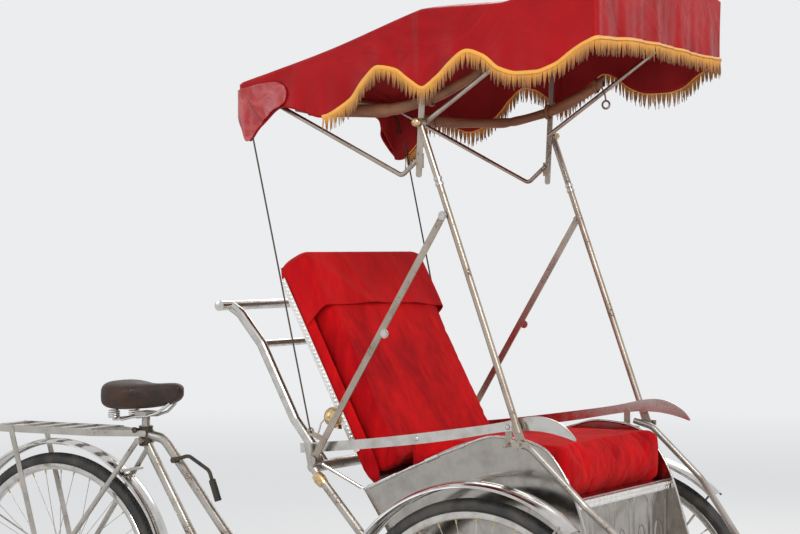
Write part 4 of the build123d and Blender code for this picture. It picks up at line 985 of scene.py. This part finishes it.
stations = []
sleeve_edge = round_loop(-BACK_THICK - SLEEVE_CLEAR, SLEEVE_CLEAR, BACK_HALF + SLEEVE_CLEAR, SLEEVE_R)
for corner, after in zip(sleeve_edge, sleeve_edge[1:] + sleeve_edge[:1]):
    steps = max(1, int((after - corner).length / 0.005))
    stations.extend(corner.lerp(after, step / steps) for step in range(steps))
rings = []
for rise in np.linspace(0, 1, SLEEVE_RINGS + 1):
    ring = []
    for spot in stations:
        front = spot.x > -0.02
        side_share = min(1.0, max(0.0, -spot.x / BACK_THICK))
        hem = SLEEVE_LOW + 0.004 * math.sin(9.0 * spot.y + 1.0) - 0.010 * spot.y / BACK_HALF - 0.026 * side_share
        out = sleeve_fold(spot.y, rise, front)
        x = spot.x + (out if front else -out)
        ring.append(lean @ Vector((x, spot.y, hem + (BACK_LENGTH - SLEEVE_R - hem) * rise)))
    rings.append(ring)
for share in np.linspace(0, 1, SLEEVE_TOP_RINGS + 1)[1:]:
    ring = []
    pull, lift = 1 - math.cos(share * math.pi / 2), math.sin(share * math.pi / 2)
    half_share = SLEEVE_R / (BACK_THICK / 2)
    for spot in stations:
        x = spot.x - (BACK_THICK / 2 + spot.x) * min(1.0, pull * half_share + share ** 3 * (1 - half_share))
        corner_drop = max(0.0, (abs(spot.y) - BACK_HALF + 0.040) / 0.040)
        y = spot.y - math.copysign(0.012 * pull * corner_drop, spot.y)
        ring.append(lean @ Vector((x, y, BACK_LENGTH - SLEEVE_R + SLEEVE_R * lift - 0.010 * corner_drop ** 2)))
    rings.append(ring)
# The sleeve's paler and darker tones are mixed in patches of painted light and shade
sleeve_velvet = velvet("sleeve_cloth", (0.62, 0.008, 0.010), (0.42, 0.003, 0.007))
sleeve = Shape().loft(rings, caps=False)
head_sleeve = sleeve.piece("head_sleeve", sleeve_velvet, "cabin", slot="red_cloth", sharp=180.0)
thicken(head_sleeve, SLEEVE_T, 0.0, 0.0004)

edge_line = [lean @ Vector((0.005 - BACK_THICK, BACK_HALF - 0.0075, z))
             for z in np.linspace(0.012, BACK_LENGTH - 0.016, 30)]
edge_radii = [0.0035, 0.0065, *[0.0078] * 26, 0.0065, 0.0035]
back_edges = Shape().tube(edge_line, edge_radii, 16, flat=2.6, up=(1, 0, 0))
back_edges.mirrored().piece("back_edges", red_velvet, "cabin", slot="red_cloth", sharp=180.0)
strips = Shape()
for side in (-1, 1):
    y = side * (BACK_HALF + 0.0032)
    corners = [(STRIP_X + sx * 0.008, y + sy * 0.0010) for sx, sy in ((-1, -1), (1, -1), (1, 1), (-1, 1))]
    strips.loft([[lean @ Vector((*corner, z)) for corner in corners] for z in (STRIP_LOW, STRIP_HIGH)])
    for z in np.arange(STRIP_LOW + 0.007, STRIP_HIGH - 0.004, 0.0105):
        spot = lean @ Vector((STRIP_X, y + side * 0.001, z))
        strips.stud(spot, ACROSS * side, (0.0012, 0.0020), (0.0044, 0.0034, 0.0012))
strips.piece("studded_strips", bright_trim, "cabin", ["back_strips"], "chrome", 50.0)

# Armrests and push bar
# Flat plated bars rise along both sides of the seat and end in leaf-shaped tips. Behind, a bent round tube with a
# cross bar is what the rider steers and pushes by, worn bright under the hands.
ARM_Y = 0.331
ARM_T = 0.004
ARM_TIP = ((0.060, 0.819), (0.090, 0.8225), (0.120, 0.8230), (0.150, 0.8175), (0.178, 0.8060), (0.203, 0.790))
TIP_HALF = (0.0122, 0.0148, 0.0163, 0.0150, 0.0100, 0.0015)
ARM_BOLTS = ((-0.484, 0.744), (-0.200, 0.777), (0.036, 0.813))
KNOB = (-0.447, 0.292, 0.815)
KNOB_R, KNOB_HALF = 0.0240, 0.020
KNOB_NECK = ((-0.447, 0.279, 0.790), (-0.444, 0.279, 0.800))
KNOB_HOOK = ((-0.462, 0.292, 0.818), (-0.474, 0.305, 0.800), (-0.480, 0.315, 0.762))
LOW_CLAMP = ((-0.462, 0.345, 0.682), (-0.452, 0.345, 0.672), (-0.441, 0.345, 0.660))
PANEL_ROD = ((-0.466, 0.333, 0.712), (-0.374, 0.2845, 0.650))
HANDLE_END = (-0.746, 1.076)
old_brass = worn("old_brass", (150.0, 4.0, 0.0), (0.35, 0.7, (0.78, 0.58, 0.30), (0.40, 0.27, 0.15)),
                 (0.3, 0.7, 0.18, 0.42), 0.0001, Metallic=1.0)
finish_nodes(plate, "push_bar", "armrests")
tip_line = list(zip(ARM_TIP, TIP_HALF))
tips = Shape().loft([[place(x, y, z + side * half) for side in (1, -1) for (x, z), half in tip_line[::side]]
                     for y in (ARM_Y - 0.0008, ARM_Y + ARM_T + 0.0008)], flip=True)
tips.mirrored().piece("arm_tips", plate, "cabin", slot="chrome", sharp=30.0)
arm_bolts = Shape()
for x, z in ARM_BOLTS:
    arm_bolts.stud(place(x, ARM_Y + ARM_T, z), ACROSS, (0.0016, 0.0032), (0.0062, 0.0052, 0.0022), 16)
arm_bolts.mirrored().piece("arm_bolts", plate, "cabin", slot="chrome")
knob = [(KNOB_R * math.sqrt(max(0.02, 1 - (y / KNOB_HALF) ** 2)) - 0.0009 * (i % 2), y)
        for i, y in enumerate(np.linspace(-KNOB_HALF, KNOB_HALF, 21))]
corner_brass = Shape().turned([(0.001, -KNOB_HALF), *knob, (0.001, KNOB_HALF)], place(*KNOB), 40)
corner_brass.tube([place(*spot) for spot in KNOB_NECK], [0.014, 0.010], 20)
corner_brass.tube([place(*spot) for spot in LOW_CLAMP], [0.0125, 0.0150, 0.0125], 24)
corner_brass.mirrored().piece("corner_brass", old_brass, "cabin", slot="chrome", sharp=50.0)
corner_rods = Shape().tube([place(*spot) for spot in PANEL_ROD], 0.0045, 12)
corner_rods.tube([place(*spot) for spot in KNOB_HOOK], 0.0022, 8)
corner_rods.mirrored().piece("corner_rods", plate, "cabin", slot="chrome")
grips = Shape()
for side in (-1, 1):
    end = place(HANDLE_END[0], side * (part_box("push_bar")[1].y - 0.0005), HANDLE_END[1])
    grips.tube([end + ACROSS * side * out for out in (-0.004, 0, 0.002)], [0.0132, 0.0132, 0.0085], 24)
grips.piece("handle_ends", plate, "cabin", slot="chrome")

# Hood frame
# Two plated struts stand forked on pins at the foot hoops, braced by flat diagonal stays. Flat links and bent rods
# hang from their tops and carry three bows under the canopy. Brass balls cap the bolts.
STRUT_FOOT = (0.080, 0.778)
STRUT_JOINT = (-0.116, 1.289)
STRUT_TOP = (-0.181, 1.502)
HOOD_Y = 0.350
STRUT_R = 0.008
STAY_OUTER_Y = HOOD_Y + STRUT_R + 0.004
# Place of each stay bolt, with the Y of the face under its nut
STAY_BOLTS = ((*STRUT_JOINT, STAY_OUTER_Y + 0.001), (-0.268, 1.018, STAY_OUTER_Y))
hood_steel = dulled_plate("hood_steel", (0.46, 0.40, 0.345), (0.33, 0.275, 0.225))
finish_nodes(hood_steel, "hood_struts", "diagonal_stays", "main_bow", "front_bow", "rear_bow", "hood_pins",
             "arm_posts")
finish_nodes(old_brass, "bow_bolts")
hood_fittings = Shape()
for x, z, outer in STAY_BOLTS:
    hood_fittings.collar(place(x, outer + 0.00225, z), ACROSS, 0.00225, 0.0085, 6)
    hood_fittings.collar(place(x, outer - 0.0002, z), ACROSS, 0.0008, 0.0105)
strut_foot, strut_top = (place(x, HOOD_Y, z) for x, z in (STRUT_FOOT, STRUT_TOP))
along = (strut_top - strut_foot).normalized()
for share in (0.805, 0.822):
    hood_fittings.collar(strut_foot.lerp(strut_top, share), along, 0.003, STRUT_R + 0.0022)
hood_fittings.mirrored().piece("hood_nuts", plate, "hood", slot="chrome")

# Canopy
# One sheet of glossy red vinyl over three bows, crowned between them, with valances sewn on all round. The sides
# hang in scallops and the back corners in folded flaps, pale pink in a painted reflection. The lining is dark red.
ROOF_LINE = ((-0.665, 1.606), (-0.590, 1.627), (-0.168, 1.758), (0.037, 1.768), (0.271, 1.822))
ROOF_CROWN = 0.036
ROOF_HALF = 0.372
ROOF_EDGE_R = 0.007
BOW_X = (-0.650, -0.174, 0.252)
BOW_SAG = 0.006
RIGHT_CORNER = ((-0.665, 1.528), (-0.652, 1.502), (-0.632, 1.468), (-0.600, 1.504))
LEFT_CORNER = ((-0.665, 1.462), (-0.650, 1.449), (-0.615, 1.462), (-0.580, 1.490))
SIDE_HEM = ((-0.545, 1.546), (-0.500, 1.540), (-0.433, 1.519), (-0.355, 1.556),
            (-0.312, 1.603), (-0.277, 1.629), (-0.238, 1.622), (-0.200, 1.597), (-0.164, 1.577), (-0.128, 1.599),
            (-0.090, 1.630), (-0.049, 1.657), (-0.012, 1.645), (0.030, 1.615), (0.079, 1.602), (0.125, 1.603),
            (0.165, 1.615), (0.205, 1.642), (0.240, 1.661), (0.271, 1.673))
FRONT_HEM = ((-0.375, 1.673), (-0.290, 1.677), (-0.145, 1.684), (0.0, 1.684), (0.145, 1.680), (0.290, 1.677),
             (0.375, 1.681))
REAR_HEM = ((-0.375, 1.528), (-0.340, 1.540), (-0.280, 1.560), (-0.150, 1.582), (0.0, 1.590), (0.150, 1.580),
            (0.270, 1.556), (0.330, 1.505), (0.375, 1.462))
FLAP_TOP = ((-0.050, 1.582), (0.0, 1.590), (0.060, 1.604), (0.105, 1.607), (0.128, 1.598), (0.138, 1.583))
FLAP_FRONT = ((0.055, 1.440), (0.075, 1.515), (0.100, 1.538), (0.130, 1.557), (0.138, 1.572))
FLAP_COLUMNS, FLAP_ROWS = 90, 34
CORNER_R = 0.012
STATION = 0.0065
SETTLED_BOW_X = -0.171
DROP_RINGS = 20
ROOF_RINGS = 34
VINYL_T = 0.0014


def vinyl():
    """Glossy red coated cloth, with soft creases, paler rubs and dust on what faces up."""
    finish = Finish("vinyl", Coat_Roughness=0.20, Specular_IOR_Level=0.12)
    crease = finish.noise(5.0, 3.0, distortion=1.6)
    small = finish.noise(34.0, 3.0, distortion=0.8)
    weave = finish.noise(1400.0, 1.0)
    facing = finish.node("SeparateXYZ", None, finish.node("NewGeometry", output=1), output=2)
    dust = finish.between(facing, 0.5, 1.0) * finish.between(small, 0.35, 0.65, 0.0, 0.14)
    red = finish.patchy(crease, 0.3, 0.72, (0.27, 0.0025, 0.005), (0.39, 0.005, 0.008))
    colour = finish.blend(dust, red, (0.44, 0.07, 0.055))
    height = crease * 1.0 + small * 0.13 + weave * 0.008
    return finish.feed(height, 0.010, Base_Color=colour, Coat_Weight=0.08 - dust * 0.3,
                       Roughness=finish.between(small, 0.3, 0.7, 0.30, 0.46) + dust * 0.25)


def lining():
    """Dark red woven back of the vinyl."""
    finish = Finish("lining", Roughness=0.85, Specular_IOR_Level=0.2)
    stain = finish.noise(8.0, 4.0)
    threads = finish.noise(1100.0, 1.0)
    colour = finish.patchy(stain, 0.35, 0.7, (0.22, 0.008, 0.010), (0.33, 0.015, 0.014))
    return finish.feed(threads + stain * 0.5, 0.0006, Base_Color=colour)


def roof_height(x, y):
    """Top of the canopy: straight between bows, crowned across, with a slight sag between the bows."""
    edge = float(np.interp(x, *np.array(ROOF_LINE).T))
    crown = ROOF_CROWN * (1 - (y / ROOF_HALF) ** 2)
    sag = 0.0
    for back, front in zip(BOW_X[:-1], BOW_X[1:]):
        if back < x < front:
            sag = BOW_SAG * math.sin(math.pi * (x - back) / (front - back)) ** 2
    return edge + crown - sag


def ripple(at, drop):
    """Soft folds of a hanging valance, deeper towards its hem."""
    waves = math.sin(31 * at + 0.6) + 0.6 * math.sin(57 * at + 2.1) + 0.35 * math.sin(103 * at + 4.0)
    return 0.0030 * drop ** 1.4 * waves


def canopy_edge():
    """Stations round the roof's edge: place, outward direction, hem height and distance along."""
    x_low, x_high = ROOF_LINE[0][0], ROOF_LINE[-1][0]
    corners = [(x_low, -1, -1), (x_high, 1, -1), (x_high, 1, 1), (x_low, -1, 1)]
    stations = []
    for k, (x, sx, sy) in enumerate(corners):
        centre = (x - sx * CORNER_R, sy * (ROOF_HALF - CORNER_R))
        start = {(-1, -1): 180, (1, -1): 270, (1, 1): 0, (-1, 1): 90}[(sx, sy)]
        for turn in np.radians(np.linspace(start, start + 90, 6)):
            out = (math.cos(turn), math.sin(turn))
            stations.append((centre[0] + CORNER_R * out[0], centre[1] + CORNER_R * out[1], *out))
        next_x, next_sx, next_sy = corners[(k + 1) % 4]
        if sy == next_sy:
            run = np.linspace(centre[0], next_x - next_sx * CORNER_R, int(abs(next_x - x) / STATION))[1:-1]
            stations.extend((spot, sy * ROOF_HALF, 0.0, sy) for spot in run)
        else:
            run = np.linspace(centre[1], next_sy * (ROOF_HALF - CORNER_R), int(2 * ROOF_HALF / STATION))[1:-1]
            stations.extend((x, spot, sx, 0.0) for spot in run)
    return stations


def hem_height(x, y, out_x):
    """Height of the hem under a station, from the side's or the end's table."""
    side = smooth_line((LEFT_CORNER if y > 0 else RIGHT_CORNER) + SIDE_HEM, x)
    if abs(out_x) < 0.01:
        return side
    end = smooth_line(FRONT_HEM if x > 0 else REAR_HEM, y)
    return side + (end - side) * min(1.0, abs(out_x) ** 2)


edge_stations = canopy_edge()
rings = []
for share in np.linspace(0, 1, DROP_RINGS + 1):
    drop = 1 - share
    ring = []
    for x, y, out_x, out_y in edge_stations:
        hem, top = hem_height(x, y, out_x), roof_height(x, y) - ROOF_EDGE_R
        over_bow = math.exp(-((x - SETTLED_BOW_X) / 0.010) ** 2) * 0.006 * abs(out_y)
        out = ripple(x + y * 1.31, drop) + over_bow * share ** 0.5 - 0.004 * drop * share
        if x < -0.55:
            out -= 0.010 * drop ** 2 * abs(math.sin(26 * (abs(y) + x)))
        ring.append(place(x + out_x * out, y + out_y * out, hem + (top - hem) * share))
    rings.append(ring)
hem_line = [(point, Vector((out_x, out_y, 0)), x, y)
            for point, (x, y, out_x, out_y) in zip(rings[0], edge_stations)]
mid_low, mid_high = ROOF_LINE[0][0] + ROOF_HALF * 0.9, ROOF_LINE[-1][0] - ROOF_HALF * 0.9
for share in np.linspace(0, 1, ROOF_RINGS + 1) ** 1.25:
    inset = share * ROOF_HALF + ROOF_EDGE_R * 0.3
    fall = ROOF_EDGE_R * (1 - min(1.0, inset / ROOF_EDGE_R)) ** 2
    ring = []
    for x, y, out_x, out_y in edge_stations:
        at_x, at_y = x + (min(max(x, mid_low), mid_high) - x) * share, y * (1 - share)
        ring.append(place(at_x, at_y, roof_height(at_x, at_y) - fall))
    rings.append(ring)
canopy_shape = Shape().loft(rings, caps=False)
canopy_sheet = canopy_shape.piece("canopy_sheet", [vinyl(), lining()], "hood", ["canopy"], "red_vinyl", 180.0)
thicken(canopy_sheet, VINYL_T, -1.0, 0.0004).material_offset = 1
# Back flap vinyl: its pale pink patches, which follow the relief of its folds, are a painted reflection of the
# pale sky
sheer_vinyl = worn("sheer_vinyl", (16.0, 3.0, 1.2), (0.42, 0.70, (0.33, 0.006, 0.010), (0.50, 0.085, 0.085)),
                   (0.3, 0.7, 0.20, 0.34), 0.006, Coat_Weight=0.5, Coat_Roughness=0.12)
flaps = Shape()
for side in (-1, 1):
    rings = []
    for at in np.linspace(FLAP_TOP[0][0], FLAP_TOP[-1][0], FLAP_COLUMNS + 1):
        turn = min(math.pi / 2, max(0.0, at / CORNER_R + math.pi / 4))
        x = ROOF_LINE[0][0] + CORNER_R + max(0.0, at - CORNER_R * math.pi / 4)
        y = ROOF_HALF - CORNER_R + min(0.0, at + CORNER_R * math.pi / 4)
        low = hem_height(x - CORNER_R * math.cos(turn), side * (y + CORNER_R * math.sin(turn)), math.cos(turn))
        top, low = smooth_line(FLAP_TOP, at), max(low, smooth_line(FLAP_FRONT, at))
        ring = []
        for drop in np.linspace(0, 1, FLAP_ROWS + 1):
            z = top + (low - top) * drop
            out = CORNER_R + 0.0040 + 0.0025 * math.exp(-((at - FLAP_TOP[-1][0]) / 0.004) ** 2)
            out += 0.0060 * math.exp(-((at - 0.022 - 0.75 * (1.590 - z)) / 0.008) ** 2)
            out += 0.0040 * math.exp(-((at - 0.010 - 0.12 * (1.600 - z)) / 0.008) ** 2)
            out += 0.0050 * drop ** 2 * math.sin(45 * at) ** 2
            ring.append(place(x - out * math.cos(turn), side * (y + out * math.sin(turn)), z))
        rings.append(ring)
    flaps.loft(rings, around=False, caps=False, flip=side < 0)
corner_flaps = flaps.piece("corner_flaps", sheer_vinyl, "hood", slot="red_vinyl", sharp=180.0)
thicken(corner_flaps, VINYL_T)

# Braid and fringe
# A flat gold braid binds the hem at the front and both sides, with a thick fringe of twisted threads under it. On
# the left it runs on to the back corner.
BRAID_ENDS_X = (-0.433, -0.632)
BRAID_H, BRAID_T = 0.0046, 0.0021
FRINGE_STEP = 0.0024
FRINGE_LENGTH = (0.024, 0.040)
CLUMP = 0.013


def gold_thread():
    """Gold thread, shiny and yellow at the braid, darker brown towards the tips in painted shade."""
    finish = Finish("gold_thread", Roughness=0.48, Specular_IOR_Level=0.5, Sheen_Weight=0.3)
    strand = finish.noise(380.0, 2.0)
    age = finish.noise(24.0, 3.0)
    along = finish.node("Attribute", {"attribute_name": "along"}, output=2)
    # Yellow at the roots and brown towards the tips: painted shade along each strand, with patches of age mixed in
    colour = finish.patchy(along * 0.75 + age * 0.5, 0.25, 0.95, (0.78, 0.36, 0.045), (0.24, 0.095, 0.022))
    return finish.feed(strand, 0.0004, Base_Color=colour)


gold = gold_thread()
braid, fringe = Shape(), Shape()
ordered = sorted(hem_line, key=lambda entry: math.atan2(entry[3], entry[2] + 0.2))
bound = [entry for entry in ordered if entry[2] > BRAID_ENDS_X[int(entry[3] > 0)] - 0.001]
braid_path = [entry[0] + entry[1] * 0.0016 + UP * BRAID_H * 0.4 for entry in bound]
braid.tube(braid_path, BRAID_T, 10, flat=BRAID_H / BRAID_T)
dice = np.random.default_rng(7)
lengths = np.concatenate(([0], np.cumsum([(b - a).length for a, b in zip(braid_path[:-1], braid_path[1:])])))
shades = []
for at in np.arange(0.002, lengths[-1], FRINGE_STEP):
    i = min(int(np.searchsorted(lengths, at, side="right")) - 1, len(braid_path) - 2)
    share = (at - lengths[i]) / max(1e-9, lengths[i + 1] - lengths[i])
    root = braid_path[i].lerp(braid_path[i + 1], share)
    along = (braid_path[i + 1] - braid_path[i]).normalized()
    clump_at = (round(at / CLUMP) - at / CLUMP) * CLUMP
    hang = dice.uniform(*FRINGE_LENGTH)
    sway = along * (clump_at * 0.62 + dice.normal(0, 0.0013)) + bound[i][1] * dice.normal(0.0004, 0.0016)
    path = [root - UP * BRAID_H * 0.5]
    for step in (0.35, 0.7, 1.0):
        path.append(root + sway * step ** 1.5 - UP * (BRAID_H * 0.5 + hang * step))
    fringe.tube(path, [0.0011, 0.00125, 0.0012, 0.0007], 4)
    # Level along each strand, from root to tip, for the painted shade that darkens it towards the tip
    shades.extend(level for level in (0.0, 0.4, 0.75, 1.0) for corner in range(4))
braid_piece = braid.piece("canopy_braid", gold, "hood", slot="red_vinyl")
fringe_piece = fringe.piece("canopy_fringe", gold, "hood", slot="red_vinyl", sharp=180.0)
fringe_piece.data.attributes.new("along", "FLOAT", "POINT").data.foreach_set("value", shades)

# Rain curtain
# A brown oilcloth curtain is rolled up under each side of the roof and sags between its ties. The front tie of
# the left one hangs down a little.
CURTAIN_LINE = ((-0.540, 1.554), (-0.441, 1.541), (-0.310, 1.536), (-0.181, 1.558), (-0.090, 1.594),
                (-0.020, 1.634))
CURTAIN_Y = 0.308
CURTAIN_R = (0.0090, 0.0150)
CURTAIN_TURNS = 3.2
CURTAIN_TURN_STEPS = 60
CURTAIN_STEPS = 70
CURTAIN_T = 0.0007
TIE_X = (-0.500, -0.174, -0.040)
TIE_CORD = ((-0.024, 1.616), (-0.016, 1.600), (-0.013, 1.5830))
brown_oilcloth = worn("oilcloth", (30.0, 4.0, 0.5), (0.35, 0.7, (0.27, 0.115, 0.055), (0.15, 0.060, 0.032)),
                      (0.3, 0.7, 0.38, 0.6), 0.004, (0.35, 1.0, 1.0), Specular_IOR_Level=0.4)
for side, word in ((-1, "right"), (1, "left")):
    rings = []
    for share in np.linspace(0, 1, CURTAIN_STEPS + 1):
        x = CURTAIN_LINE[0][0] + (CURTAIN_LINE[-1][0] - CURTAIN_LINE[0][0]) * share
        z = smooth_line(CURTAIN_LINE, x)
        slack = 1 + 0.16 * math.sin(9 * x + side) + 0.07 * math.sin(37 * x)
        slack -= 0.15 * math.exp(-((share - 0.5) / 0.015) ** 2)
        ring = []
        for k, turn in enumerate(np.linspace(0, 2 * math.pi * CURTAIN_TURNS, CURTAIN_TURN_STEPS)):
            radius = (CURTAIN_R[0] + (CURTAIN_R[1] - CURTAIN_R[0]) * k / CURTAIN_TURN_STEPS) * slack
            angle = turn + 0.5 * math.sin(3 * x)
            y = side * (CURTAIN_Y + radius * 0.8 * math.cos(angle))
            ring.append(place(x, y, z + radius * math.sin(angle)))
        rings.append(ring)
    roll = Shape().loft(rings, around=False, caps=False)
    curtain = roll.piece(f"rain_curtain_{word}", brown_oilcloth, "hood", ["rain_curtains"], "oilcloth", 180.0)
    thicken(curtain, CURTAIN_T)
curtain_ties = Shape()
for x in TIE_X:
    z = smooth_line(CURTAIN_LINE, x)
    loop = [place(x, CURTAIN_Y + 0.0145 * math.cos(turn), z + 0.0175 * math.sin(turn))
            for turn in np.radians(np.arange(0, 360, 20))]
    curtain_ties.tube(loop, 0.0022, 8, flat=2.2, loop=True, up=(1, 0, 0))
curtain_ties.mirrored()
curtain_ties.tube([place(x, CURTAIN_Y, z) for x, z in TIE_CORD], 0.0020, 8)
curtain_ties.piece("curtain_ties", brown_oilcloth, "hood", slot="oilcloth")

# Last details
# The guy ropes are thin dark cord, pulled tight from the canopy's back corners to eyes on the stays. A bent wire
# hook stiffens each back flap.
cord_fibre = worn("cord_fibre", (300.0, 2.0, 0.0), (0.0, 1.0, (0.035, 0.028, 0.024), (0.09, 0.07, 0.055)),
                  depth=0.0006, Roughness=0.8)
finish_nodes(cord_fibre, "guy_ropes")

# Place, radius and thickness of the two eye rings and of the ring that hangs from the left curtain's front tie
ROPE_RINGS = ((-0.469, 0.360, 0.784, 0.0085, 0.0022), (-0.469, -0.360, 0.784, 0.0085, 0.0022),
              (-0.013, CURTAIN_Y, 1.5735, 0.0098, 0.0027))
FLAP_HOOK = ((-0.655, 1.566), (-0.647, 1.556), (-0.642, 1.543), (-0.641, 1.522))
HOOK_Y, HOOK_R = 0.3665, 0.0022
rings = Shape()
for x, y, z, radius, thick in ROPE_RINGS:
    circle = [polar(place(x, y, z), radius, turn, 0) for turn in np.radians(np.arange(0, 360, 15))]
    rings.tube(circle, thick, 8, loop=True, up=(0, 1, 0))
rings.piece("rope_rings", hood_steel, "hood", slot="frame_steel")
flap_hooks = Shape().tube([place(x, HOOK_Y, z) for x, z in FLAP_HOOK], HOOK_R, 8)
flap_hooks.tube([place(-0.648, HOOK_Y, 1.522), place(-0.634, HOOK_Y, 1.522)], HOOK_R, 8)
flap_hooks.mirrored().piece("flap_hooks", greased, "hood", slot="frame_steel")
